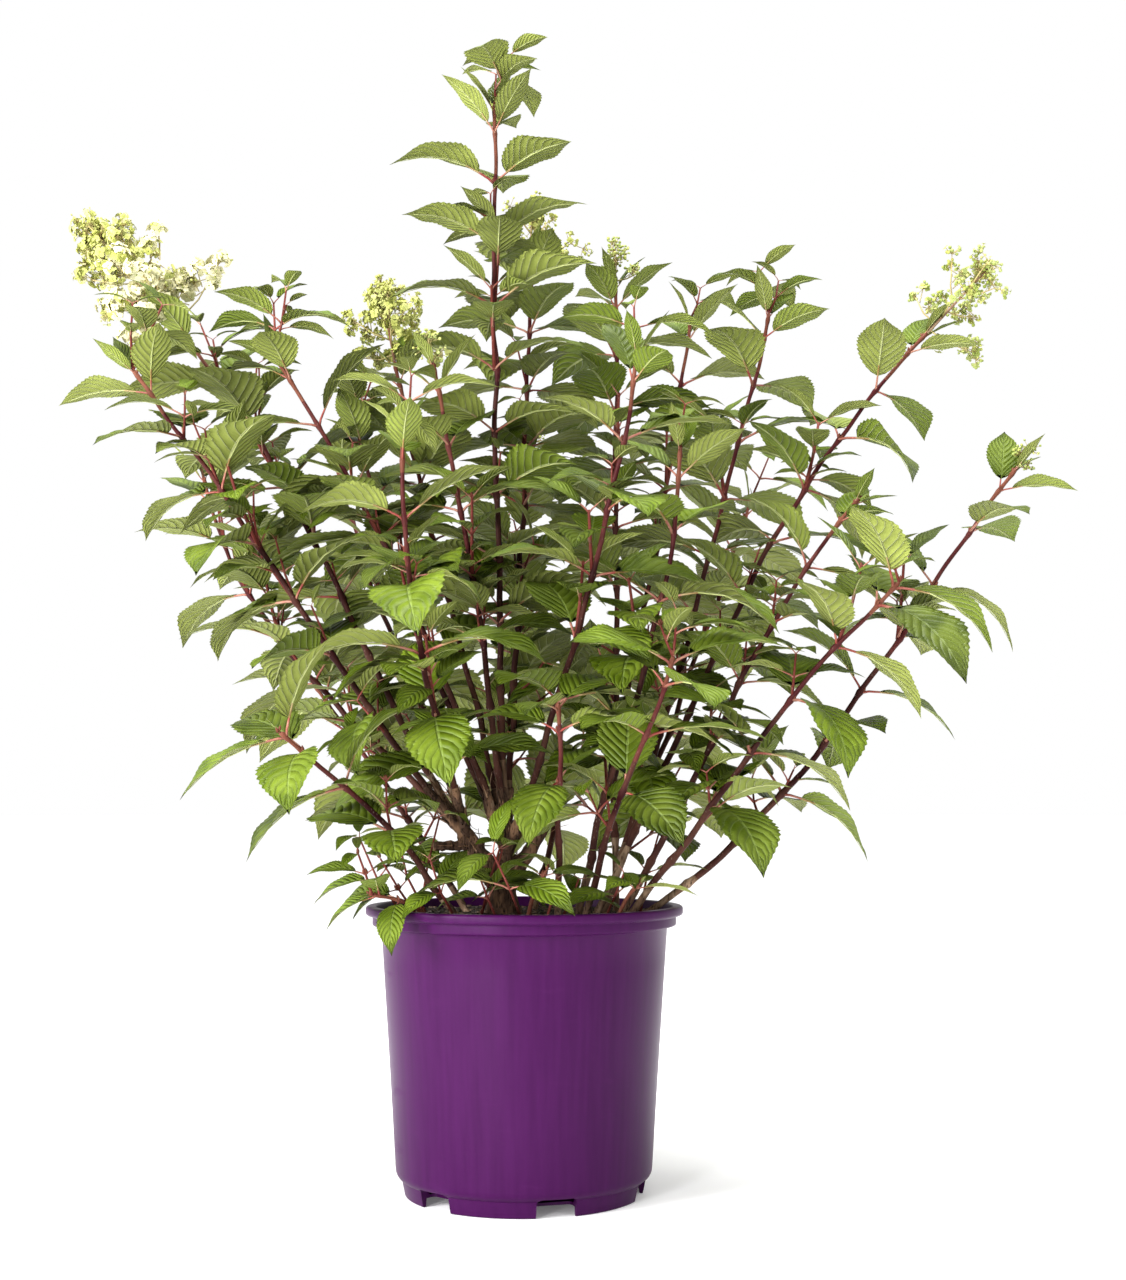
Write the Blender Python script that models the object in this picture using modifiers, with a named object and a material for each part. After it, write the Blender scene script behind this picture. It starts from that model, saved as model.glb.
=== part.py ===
"""Panicle hydrangea in its purple nursery pot, in metres with +Z up.

The origin is on the pot's axis, on the flat underside that the pot stands on.
The front of the pot faces -Y. A woody crown and a few more canes stand on the
soil. Each cane is a bare limb below and one leafy mass above, which grows by a
seeded rule from the same curve.
"""
import math
import random
from collections import namedtuple
from functools import partial

import bmesh
import bpy
import numpy as np
from mathutils import Matrix, Vector

# Sizes of the pot
RIM_RADIUS = 0.140
POT_HEIGHT = 0.248
LIP_HEIGHT = 0.008
LIP_INNER_RADIUS = 0.131
COLLAR_RADIUS = 0.134
COLLAR_BOTTOM = 0.2310
BODY_TOP_RADIUS = 0.126
BODY_LOW_RADIUS = 0.112
BODY_LOW_HEIGHT = 0.024
FOOT_RADIUS = 0.104
FOOT_WALL = 0.0035
FLOOR_UNDERSIDE = 0.007
FLOOR_THICKNESS = 0.0025
PAD_RADIUS = 0.042
WALL = 0.0022
POT_SEGMENTS = 32
NOTCH_COUNT = 6
NOTCH_WIDTH = 0.034
NOTCH_HEIGHT = 0.016
NOTCH_DEPTH = 0.030
FIRST_NOTCH = -44.0

# Soil and clearances
SOIL_BELOW_RIM = 0.008
SOIL_TOP = POT_HEIGHT - SOIL_BELOW_RIM
GAP = 0.0003
TOUCH_CLEARANCE = 0.0015
POT_CLEARANCE = 0.003

# Woody crown
CROWN_FOOT = Vector((-0.019, 0.0, SOIL_TOP))
CROWN_RADIUS = 0.017
LEFT_FORK = Vector((-0.050, -0.004, 0.306))
MIDDLE_FORK = Vector((-0.016, 0.003, 0.292))
FORK_RADIUS = 0.0085
STUB_RADIUS = 0.0055
CROWN_BELOW = 0.012
WAIST_HEIGHT = 0.020
FORK_RISE = Vector((0.0, 0.0, 0.006))
CROWN_FLARE = 1.15
CROWN_NARROWING = 0.78
LEFT_ARM_SHARE = 0.62
STUB_ALONG_ARM = 0.6
STUB_ENDS = ((-0.082, -0.016, 0.300), (0.020, 0.004, 0.320), (0.002, 0.020, 0.326))
STUB_END_RADIUS = 0.0045
ARM_SWELL = 1.15
LIMB_SIDES_RESOLUTION = 1

# Canes: radius at the foot, where a mass starts, and at the tip
FOOT_RADIUS_CANE = 0.0032
TIP_RADIUS = 0.0016
PATH_STEPS = 24
HANDLE = 0.36
STEM_SWELL = 1.3
ARM_SPACING = 0.05
LIMB_SPACING = 0.08
STEM_SPACING = 0.09
CAP_SPACING = 0.0015
SKELETON_SPACING = 0.004

# Leaves
LEAF_LENGTH = 0.112
LEAF_WIDTH_SHARE = 0.50
LEAF_THICKNESS_SHARE = 0.024
WIDEST = 0.55
TIP_GAP = 0.007
LOW_TIP = 0.56
LOW_CANE_LEVEL = 2
TOP_INTERNODE = 0.020
INTERNODE_GROWTH = 2.4
INTERNODE = 0.058
ROOM_BETWEEN_SAMPLES = 0.0035
LEAF_SPACING = 0.008
OUTER_POINTS = 5
TWIG_POINTS_IN_STEM = 3
LIMB_END_POINTS = 4
TEST_SHARES = (0.25, 0.40, 0.55, 0.70, 0.85, 1.0)
TEST_SIDES = (-1.0, -0.5, 0.0, 0.5, 1.0)
FIT_SHARES = (1.0, 0.8, 0.6)
FIT_TURNS = (0, 22, -22, 44, -44)
BEND_STEPS = 10
SUNK_SHARE = 0.35
TWIG_LENGTH = 0.075
TWIG_RADIUS = 0.0016
TWIG_LEAF_SCALE = 0.80
TWIG_NODES = (0.95, 0.50)
TWIG_RADII = (1.2, 1.0, 0.8)
FIRST_TWIG_LEVEL = 4

# Rules by level: the value at the tip, what each node below adds, and the most
OPENING = (22.0, 13.0, 52.0)
DROOP = (25.0, 18.0, 66.0)
DROOP_POWER = 0.9
SIZE = (0.45, 0.24, 1.0)

# Chance: degrees to either side of a rule, and ranges of a share or an angle
OPENING_SPREAD = 9
DROOP_SPREAD = 16
ROLL_SPREAD = 24
NODE_SPREAD = 9
PAIR_SPREAD = 23
SIZE_RANGE = (0.88, 1.08)
FOLD_RANGE = (8, 24)
TWIG_RANGE = (0.75, 1.15)

# How far a leaf's way may point down, how much its upper side leans with the stem,
# and how much a side twig leans to its leaf's upper side and then upright
LOWEST_WAY = -0.05
LEAN_WITH_STEM = 0.4
TWIG_LIFT = 0.9
TWIG_RISE = 0.35
TWIG_CURL = 0.4

# Pairs of leaves stand crosswise at each next node, and threes in line
TURN_PER_NODE = {2: 90, 3: 120}

Cane = namedtuple("Cane", "name foot tip lean curl bare whorl spin leaf twigs head")

# A cane's foot and tip are places, lean and curl are its angles from upright at the
# foot and at the tip, bare is the share of its length that carries no leaves, whorl
# is how many leaves stand at a node, spin turns the topmost node, leaf scales the
# leaves, twigs is how many side twigs it bears, and head names the flower head.
MIDDLE = tuple(MIDDLE_FORK)
LEFT = tuple(LEFT_FORK)
CANES = (
    Cane("leader", MIDDLE, (-0.029, 0.0, 1.000), 3, 0, 0.24, 3, 86, 0.96, 2, None),
    Cane("far_left", LEFT, (-0.345, -0.050, 0.718), 40, 38, 0.28, 2, 65, 1.05, 2, None),
    Cane("left_bloom", LEFT, (-0.328, 0.045, 0.782), 34, 42, 0.34, 2, 10, 1.05, 2, "cone"),
    Cane("left_bud", LEFT, (-0.318, 0.130, 0.655), 48, 16, 0.28, 2, 50, 1.00, 2, "bud"),
    Cane("left_shoulder", MIDDLE, (-0.224, -0.030, 0.736), 18, 34, 0.28, 2, 20, 1.05, 2, None),
    Cane("middle_bloom", MIDDLE, (-0.130, 0.110, 0.765), 14, 14, 0.42, 2, 35, 0.95, 1, "dome"),
    Cane("front_left", LEFT, (-0.095, -0.175, 0.640), 40, -6, 0.18, 2, 0, 1.00, 2, None),
    Cane("front_bud", MIDDLE, (-0.080, -0.060, 0.722), 8, 16, 0.30, 2, 70, 0.90, 1, "bud"),
    Cane("inner_left", MIDDLE, (-0.158, 0.045, 0.690), 22, 12, 0.42, 2, 15, 1.00, 0, None),
    Cane("upper_bloom", MIDDLE, (0.003, 0.095, 0.862), 8, 2, 0.48, 3, 50, 0.95, 0, "sparse"),
    Cane("front_right", MIDDLE, (0.095, -0.170, 0.705), 34, 16, 0.20, 2, 20, 1.00, 2, None),
    Cane("right_bud", (0.082, 0.030), (0.085, 0.110, 0.842), 3, 6, 0.44, 3, 0, 1.00, 1, "small"),
    Cane("right_back", (0.046, 0.048), (0.165, 0.200, 0.832), 22, 12, 0.42, 2, 30, 1.00, 1, None),
    Cane("right_top", (0.068, 0.016), (0.232, 0.085, 0.806), 20, 14, 0.34, 2, 50, 1.05, 1, None),
    Cane("right_bloom", (0.060, -0.006), (0.372, 0.030, 0.772), 26, 44, 0.38, 2, 40, 0.95, 1, "loose"),
    Cane("right_twig", (0.080, -0.012), (0.290, -0.070, 0.600), 34, 42, 0.30, 2, 10, 0.90, 0, None),
    Cane("right_low", (0.086, -0.034), (0.312, -0.130, 0.520), 40, 48, 0.28, 2, 15, 1.00, 1, None),
    Cane("far_right", (0.098, 0.006), (0.445, 0.000, 0.640), 58, 38, 0.28, 2, 75, 0.95, 1, "bud"),
    Cane("inner_right", (0.046, -0.022), (0.134, -0.095, 0.640), 12, 2, 0.26, 2, 60, 1.05, 1, None),
    Cane("front_low_right", (0.052, -0.046), (0.122, -0.175, 0.455), 22, 28, 0.38, 2, 20, 0.95, 0, None),
    Cane("front_low", (0.030, -0.040), (0.030, -0.135, 0.420), 14, 26, 0.42, 2, 60, 0.85, 0, None),
    Cane("low_left", (-0.052, -0.050), (-0.195, -0.150, 0.395), 38, 56, 0.30, 2, 30, 0.95, 0, None),
    Cane("back_left", LEFT, (-0.205, 0.270, 0.690), 36, 30, 0.30, 2, 25, 1.00, 1, None),
    Cane("back_middle", MIDDLE, (-0.010, 0.330, 0.725), 26, 22, 0.30, 2, 5, 1.00, 1, "small"),
    Cane("back_right", (0.070, 0.050), (0.235, 0.290, 0.660), 34, 32, 0.28, 2, 45, 1.00, 1, None),
    Cane("back_low", (0.006, 0.050), (0.070, 0.255, 0.440), 34, 44, 0.32, 2, 80, 0.95, 0, None),
    Cane("back_low_left", (-0.050, 0.040), (-0.215, 0.185, 0.455), 42, 46, 0.32, 2, 35, 0.95, 0, None),
)

# Short shoots from the soil, leafy from the ground
SHOOTS = (
    Cane("shoot_left", (-0.072, -0.070), (-0.124, -0.104, 0.262), 40, 84, 0.45, 2, 40, 0.62, 0, None),
    Cane("shoot_front", (0.004, -0.078), (0.020, -0.096, 0.282), 10, 40, 0.40, 2, 10, 0.50, 0, None),
    Cane("shoot_right", (0.076, -0.074), (0.098, -0.088, 0.270), 30, 60, 0.40, 2, 20, 0.52, 0, None),
)

# A flower head's length and radius, and how many sprays it has
Head = namedtuple("Head", "length radius sprays")
HEADS = {
    "cone": Head(0.152, 0.070, 18),
    "dome": Head(0.078, 0.056, 11),
    "sparse": Head(0.056, 0.046, 7),
    "small": Head(0.044, 0.026, 5),
    "loose": Head(0.104, 0.058, 9),
    "bud": Head(0.024, 0.014, 3),
}

# A head's sprays: degrees from one to the next, how steeply the lowest rises and
# how much more the top one does, the length of the lowest as a share of the head's
# radius and how much shorter the top one is, their proportions, and their bend
SPRAY_TURN = 137.5
SPRAY_SPREAD = 12
SPRAY_RISE = (12, 68)
SPRAY_TAPER = (0.86, 0.38)
SPRAY_RANGE = (0.9, 1.1)
SPRAY_WIDTH_SHARE = 0.62
SPRAY_DEPTH_SHARE = 0.8
SPRAY_TOP_SHARE = 0.72
SPRAY_DROOP = 0.2
AXIS_SHARE = 0.86
AXIS_RADII = (1.2, 1.0, 0.6)
AXIS_SUNK = 0.004

Leaf = namedtuple("Leaf", "root along up length width thickness droop fold")

PURPLE = (0.102, 0.017, 0.122, 1.0)
SOIL_BROWN = (0.020, 0.014, 0.010, 1.0)
BARK_BROWN = (0.105, 0.062, 0.040, 1.0)
CANE_BROWN = (0.060, 0.022, 0.022, 1.0)
LEAF_GREEN = (0.095, 0.190, 0.040, 1.0)


def clear_scene():
    for obj in list(bpy.data.objects):
        bpy.data.objects.remove(obj, do_unlink=True)


def new_collection(name):
    collection = bpy.data.collections.new(name)
    bpy.context.scene.collection.children.link(collection)
    return collection


def finish(obj, colour, roughness):
    """Give an object its own material, named after it."""
    material = bpy.data.materials.new(obj.name)
    material.use_nodes = True
    shader = material.node_tree.nodes["Principled BSDF"]
    shader.inputs["Base Color"].default_value = colour
    shader.inputs["Roughness"].default_value = roughness
    shader.inputs["Metallic"].default_value = 0.0
    obj.data.materials.clear()
    obj.data.materials.append(material)


def link_mesh(name, mesh, collection):
    obj = bpy.data.objects.new(name, mesh)
    collection.objects.link(obj)
    return obj


def mesh_from(bm, name):
    bmesh.ops.recalc_face_normals(bm, faces=bm.faces)
    mesh = bpy.data.meshes.new(name)
    bm.to_mesh(mesh)
    bm.free()
    return mesh


def evaluated_mesh(obj):
    """The mesh of an object with its modifiers or its bevel applied."""
    depsgraph = bpy.context.evaluated_depsgraph_get()
    return bpy.data.meshes.new_from_object(obj.evaluated_get(depsgraph), depsgraph=depsgraph)


def replace_mesh(obj):
    """Apply an object's modifiers."""
    mesh = evaluated_mesh(obj)
    obj.modifiers.clear()
    obj.data = mesh


def turned(name, profile, collection, segments=POT_SEGMENTS):
    """Turn an outline of (radius, height) points about the upright axis."""
    bm = bmesh.new()
    verts = [bm.verts.new((radius, 0.0, height)) for radius, height in profile]
    for start, end in zip(verts, verts[1:]):
        bm.edges.new((start, end))
    mesh = bpy.data.meshes.new(name)
    bm.to_mesh(mesh)
    bm.free()
    obj = link_mesh(name, mesh, collection)
    screw = obj.modifiers.new("Turn", "SCREW")
    screw.steps = segments
    screw.render_steps = segments
    screw.use_merge_vertices = True
    screw.merge_threshold = 0.00005
    screw.use_normal_calculate = True
    return obj


def triangle_section(collection):
    """The three-sided outline that the leafy stems are swept with."""
    curve = bpy.data.curves.new("twig_section", "CURVE")
    curve.dimensions = "2D"
    curve.fill_mode = "NONE"
    spline = curve.splines.new("POLY")
    spline.points.add(2)
    for index, point in enumerate(spline.points):
        angle = math.tau * index / 3
        point.co = (math.cos(angle), math.sin(angle), 0.0, 1.0)
    spline.use_cyclic_u = True
    obj = bpy.data.objects.new("twig_section", curve)
    obj.hide_render = True
    collection.objects.link(obj)
    return obj


def tube_mesh(name, points, radii, section=None):
    """Sweep a round tube, or a given section, along points as a welded mesh."""
    curve = bpy.data.curves.new(name, "CURVE")
    curve.dimensions = "3D"
    curve.use_fill_caps = True
    curve.bevel_depth = 1.0
    curve.bevel_resolution = LIMB_SIDES_RESOLUTION
    if section is not None:
        curve.bevel_mode = "OBJECT"
        curve.bevel_object = section
    spline = curve.splines.new("POLY")
    spline.points.add(len(points) - 1)
    for point, place, radius in zip(spline.points, points, radii):
        point.co = (*place, 1.0)
        point.radius = radius
    obj = bpy.data.objects.new(name, curve)
    bpy.context.scene.collection.objects.link(obj)
    bm = bmesh.new()
    bm.from_mesh(evaluated_mesh(obj))
    bpy.data.objects.remove(obj, do_unlink=True)
    bmesh.ops.remove_doubles(bm, verts=bm.verts, dist=0.00001)
    return mesh_from(bm, name)


def cut_level(mesh, height):
    """Cut a closed mesh off flat at a height and keep what is above."""
    bm = bmesh.new()
    bm.from_mesh(mesh)
    geometry = bm.verts[:] + bm.edges[:] + bm.faces[:]
    bmesh.ops.bisect_plane(
        bm, geom=geometry, dist=0.00001, plane_co=(0, 0, height), plane_no=(0, 0, 1),
        clear_inner=True,
    )
    bmesh.ops.holes_fill(bm, edges=[edge for edge in bm.edges if edge.is_boundary])
    bmesh.ops.recalc_face_normals(bm, faces=bm.faces)
    bm.to_mesh(mesh)
    bm.free()
    return mesh


def keep_main_shell(mesh):
    """Drop loose scraps and the walls of any sealed hollow."""
    bm = bmesh.new()
    bm.from_mesh(mesh)
    bm.verts.ensure_lookup_table()
    seen = set()
    shells = []
    for start in bm.verts:
        if start in seen:
            continue
        shell = {start}
        front = [start]
        while front:
            vert = front.pop()
            for edge in vert.link_edges:
                other = edge.other_vert(vert)
                if other not in shell:
                    shell.add(other)
                    front.append(other)
        seen |= shell
        shells.append(shell)
    main = max(shells, key=len)
    loose = [vert for vert in bm.verts if vert not in main]
    bmesh.ops.delete(bm, geom=loose, context="VERTS")
    bm.to_mesh(mesh)
    bm.free()


def join(host, meshes):
    """Fuse meshes onto a host object with one Boolean union, and apply it."""
    group = new_collection("joining")
    for index, mesh in enumerate(meshes):
        link_mesh(f"{host.name}_part_{index}", mesh, group)
    union = host.modifiers.new("Join", "BOOLEAN")
    union.operation = "UNION"
    union.operand_type = "COLLECTION"
    union.collection = group
    union.solver = "EXACT"
    replace_mesh(host)
    for obj in list(group.objects):
        bpy.data.objects.remove(obj, do_unlink=True)
    bpy.data.collections.remove(group)
    keep_main_shell(host.data)


def cane_foot(cane):
    """The foot as a place: a foot given by two numbers stands in the soil."""
    if len(cane.foot) == 3:
        return Vector(cane.foot)
    return Vector((*cane.foot, SOIL_TOP - 2 * FOOT_RADIUS_CANE))


def cane_path(cane):
    """Points along a cane's curve, from its foot to its tip."""
    foot = cane_foot(cane)
    tip = Vector(cane.tip)
    span = tip - foot
    bearing = Vector((span.x, span.y, 0.0)).normalized()
    lean = math.radians(cane.lean)
    curl = math.radians(cane.curl)
    start_way = bearing * math.sin(lean) + Vector((0, 0, math.cos(lean)))
    end_way = bearing * math.sin(curl) + Vector((0, 0, math.cos(curl)))
    first = foot + start_way * span.length * HANDLE
    second = tip - end_way * span.length * HANDLE
    points = []
    for step in range(PATH_STEPS + 1):
        t = step / PATH_STEPS
        s = 1 - t
        points.append(
            foot * s**3 + first * 3 * s * s * t + second * 3 * s * t * t + tip * t**3
        )
    return points


def lengths_along(path):
    """Distance from the first point to each point of a path."""
    total = [0.0]
    for start, end in zip(path, path[1:]):
        total.append(total[-1] + (end - start).length)
    return total


def place_at(path, distance):
    """The place and the direction at a distance along a path."""
    total = lengths_along(path)
    for index in range(1, len(path)):
        if distance <= total[index] or index == len(path) - 1:
            share = (distance - total[index - 1]) / (total[index] - total[index - 1])
            step = path[index] - path[index - 1]
            before = path[max(index - 2, 0)]
            after = path[min(index + 1, len(path) - 1)]
            way = (path[index] - before).lerp(after - path[index - 1], share)
            return path[index - 1] + step * share, way.normalized()


def cane_radius(path, distance):
    share = min(max(distance / lengths_along(path)[-1], 0.0), 1.0)
    return FOOT_RADIUS_CANE + (TIP_RADIUS - FOOT_RADIUS_CANE) * share


def stretch(path, start, end, spacing):
    """Even distances from start to end, with one close to each end cap."""
    count = max(2, round((end - start) / spacing))
    inner = [start + (end - start) * step / count for step in range(1, count)]
    return [start, start + CAP_SPACING, *inner, end - CAP_SPACING, end]


def limb_mesh(name, path, start, end, spacing, swell=1.0, section=None):
    """A tapering stretch of a cane as a closed mesh."""
    distances = stretch(path, start, end, spacing)
    points = [place_at(path, distance)[0] for distance in distances]
    radii = [cane_radius(path, distance) * swell for distance in distances]
    return tube_mesh(name, points, radii, section)


def dense(path, spacing=SKELETON_SPACING):
    """Points of a path close enough together to measure distances from."""
    total = lengths_along(path)[-1]
    count = max(2, round(total / spacing))
    return np.array([place_at(path, total * step / count)[0] for step in range(count + 1)])


def nearest(points, others):
    """Distance from each point to the nearest of the others."""
    gaps = points[:, None, :] - others[None, :, :]
    return np.sqrt((gaps**2).sum(axis=2)).min(axis=1)


def fork_length(name, dense_paths, crown_names):
    """How far a cane runs before it is clear of every other cane of the crown."""
    own = dense_paths[name]
    others = np.concatenate([dense_paths[other] for other in crown_names if other != name])
    close = nearest(own, others) < 2 * FOOT_RADIUS_CANE + 2 * TOUCH_CLEARANCE
    last = int(np.nonzero(close)[0].max()) if close.any() else 0
    steps = np.linalg.norm(np.diff(own, axis=0), axis=1)
    return float(steps[: last + 1].sum())


def leaf_bend(leaf, share):
    """Place, direction and upper side at a share of a leaf's length."""
    side = leaf.along.cross(leaf.up)
    place = leaf.root.copy()
    for step in range(BEND_STEPS):
        angle = leaf.droop * (share * (step + 0.5) / BEND_STEPS) ** DROOP_POWER
        way = leaf.along * math.cos(angle) - leaf.up * math.sin(angle)
        place += way * leaf.length * share / BEND_STEPS
    angle = leaf.droop * share**DROOP_POWER
    way = leaf.along * math.cos(angle) - leaf.up * math.sin(angle)
    return place, way, side.cross(way)


def leaf_mesh(name, leaf):
    """A leaf of eight faces, pointed at its root and tip and widest between."""
    bm = bmesh.new()
    bmesh.ops.create_uvsphere(bm, u_segments=4, v_segments=2, radius=1.0)
    side = leaf.along.cross(leaf.up)
    for vert in bm.verts:
        across, through, share = vert.co
        share = 0.0 if share < -0.5 else 1.0 if share > 0.5 else WIDEST
        place, _, normal = leaf_bend(leaf, share)
        rise = abs(across) * leaf.width / 2 * math.tan(leaf.fold)
        place += side * across * leaf.width / 2
        vert.co = place + normal * (through * leaf.thickness / 2 + rise)
    return mesh_from(bm, name)


def leaf_points(leaf):
    """Places on a leaf that are tested for room."""
    side = leaf.along.cross(leaf.up)
    points = []
    for share in TEST_SHARES:
        place, _, normal = leaf_bend(leaf, share)
        half = leaf.width / 2 * min(share / WIDEST, (1 - share) / (1 - WIDEST))
        for across in TEST_SIDES:
            rise = abs(across) * half * math.tan(leaf.fold)
            points.append(place + side * across * half + normal * rise)
    return np.array(points)


def has_room(points, own, others, limbs):
    """Whether points keep to a mass's own space, off the limbs, the pot and the soil."""
    to_own = nearest(points, own)
    if (nearest(points, others) < to_own + 2 * TOUCH_CLEARANCE).any():
        return False
    limb_room = FOOT_RADIUS_CANE + TOUCH_CLEARANCE + ROOM_BETWEEN_SAMPLES
    if (nearest(points, limbs) < limb_room).any():
        return False
    from_axis = np.hypot(points[:, 0], points[:, 1])
    over_pot = from_axis < RIM_RADIUS + POT_CLEARANCE
    return not (over_pot & (points[:, 2] < POT_HEIGHT + POT_CLEARANCE)).any()


def node_distances(length, bare):
    """Distances along a stem where leaves stand, from the tip down."""
    distances = []
    down = TIP_GAP
    internode = TOP_INTERNODE
    while length - down > bare + TIP_GAP:
        distances.append(length - down)
        down += internode
        internode = min(internode * INTERNODE_GROWTH, INTERNODE)
    return distances


def by_level(rule, level):
    """The value that a rule of (at the tip, more at each node below, most) gives."""
    first, more, most = rule
    return min(first + more * level, most)


def strayed(angle, spread, rng):
    """An angle in degrees, moved by chance to either side, in radians."""
    return math.radians(angle + rng.uniform(-spread, spread))


def leaf_at(place, way, turn, level, scale, rng):
    """The leaf that stands at a node: level 0 is the topmost node."""
    across = (Vector((1, 0, 0)) - way * way.x).normalized()
    beyond = way.cross(across)
    outward = across * math.cos(turn) + beyond * math.sin(turn)
    opening = strayed(by_level(OPENING, level), OPENING_SPREAD, rng)
    along = way * math.cos(opening) + outward * math.sin(opening)
    along.z = max(along.z, LOWEST_WAY)
    along.normalize()
    lift = way * LEAN_WITH_STEM + Vector((0, 0, 1))
    level_up = (lift - along * lift.dot(along)).normalized()
    up = Matrix.Rotation(strayed(0, ROLL_SPREAD, rng), 3, along) @ level_up
    size = by_level(SIZE, level) * rng.uniform(*SIZE_RANGE) * scale
    length = LEAF_LENGTH * size
    droop = strayed(by_level(DROOP, level), DROOP_SPREAD, rng)
    fold = math.radians(rng.uniform(*FOLD_RANGE))
    return Leaf(
        place, along, up, length, length * LEAF_WIDTH_SHARE,
        length * LEAF_THICKNESS_SHARE, droop, fold,
    )


def twig_path(leaf, rng):
    """A short side twig that grows out above a leaf, as three points."""
    way = (leaf.along + leaf.up * TWIG_LIFT + Vector((0, 0, TWIG_RISE))).normalized()
    length = TWIG_LENGTH * rng.uniform(*TWIG_RANGE)
    middle = leaf.root + way * length * 0.5
    end = middle + (way + Vector((0, 0, TWIG_CURL))).normalized() * length * 0.5
    return [leaf.root, middle, end]


def grow(cane, path, bare):
    """The leaves a cane bears from the tip down, and its twigs with their leaves."""
    rng = random.Random(cane.name)
    total = lengths_along(path)[-1]
    first_level = LOW_CANE_LEVEL if cane.tip[2] < LOW_TIP else 0
    leaves = []
    twigs = []
    for level, distance in enumerate(node_distances(total, bare), first_level):
        place, way = place_at(path, distance)
        turn_here = strayed(cane.spin + level * TURN_PER_NODE[cane.whorl], NODE_SPREAD, rng)
        for index in range(cane.whorl):
            turn = turn_here + math.tau * index / cane.whorl
            leaves.append(leaf_at(place, way, turn, level, cane.leaf, rng))
        if level >= FIRST_TWIG_LEVEL and len(twigs) < cane.twigs:
            twigs.append(grow_twig(leaves[-1 - level % cane.whorl], cane.leaf, rng))
    return leaves, twigs


def grow_twig(leaf, scale, rng):
    """A side twig and its leaves."""
    path = twig_path(leaf, rng)
    length = lengths_along(path)[-1]
    leaves = []
    for level, share in enumerate(TWIG_NODES):
        place, way = place_at(path, length * share)
        start = strayed(90 * level, PAIR_SPREAD, rng)
        for index in range(2):
            turn = start + math.pi * index
            size = scale * TWIG_LEAF_SCALE
            leaves.append(leaf_at(place, way, turn, level + 1, size, rng))
    return path, leaves


def sunk(leaf, radius):
    """Start a leaf on the far side of its stem's middle, so that it fuses well."""
    return leaf._replace(root=leaf.root - leaf.along * radius * SUNK_SHARE)


def shortened(leaf, share):
    return leaf._replace(
        length=leaf.length * share, width=leaf.width * share,
        thickness=leaf.thickness * math.sqrt(share),
    )


def turned_about(leaf, way, angle):
    """The leaf moved round its stem, whose direction is way."""
    turn = Matrix.Rotation(math.radians(angle), 3, way)
    along = turn @ leaf.along
    up = turn @ leaf.up
    lift = up + Vector((0, 0, 1))
    return leaf._replace(along=along, up=(lift - along * lift.dot(along)).normalized())


def fitted(leaf, way, room, taken):
    """The leaf, or a turned or shorter one, that has room; none where none has."""
    for share in FIT_SHARES:
        for angle in FIT_TURNS:
            trial = shortened(turned_about(leaf, way, angle) if angle else leaf, share)
            points = leaf_points(trial)
            if nearest(points[OUTER_POINTS:], taken).min() > LEAF_SPACING and room(points):
                return trial
    return None


def head_axis(cane, path):
    """Where a flower head starts and which way it points."""
    total = lengths_along(path)[-1]
    return place_at(path, total)


def head_sprays(cane, path):
    """The sprays of florets of a flower head, thick leaves set round its axis."""
    head = HEADS[cane.head]
    rng = random.Random(cane.name + "_head")
    tip, way = head_axis(cane, path)
    across = (Vector((1, 0, 0)) - way * way.x).normalized()
    beyond = way.cross(across)
    sprays = []
    for index in range(head.sprays):
        share = (index + 0.5) / head.sprays
        turn = strayed(SPRAY_TURN * index, SPRAY_SPREAD, rng)
        outward = across * math.cos(turn) + beyond * math.sin(turn)
        rise = math.radians(SPRAY_RISE[0] + SPRAY_RISE[1] * share)
        along = outward * math.cos(rise) + way * math.sin(rise)
        taper = SPRAY_TAPER[0] - SPRAY_TAPER[1] * share
        length = head.radius * taper * rng.uniform(*SPRAY_RANGE)
        width = length * SPRAY_WIDTH_SHARE
        up = (way - along * way.dot(along)).normalized()
        root = tip + way * head.length * share * SPRAY_TOP_SHARE
        depth = width * SPRAY_DEPTH_SHARE
        sprays.append(Leaf(root, along, up, length, width, depth, SPRAY_DROOP, 0.0))
    return sprays


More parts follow.
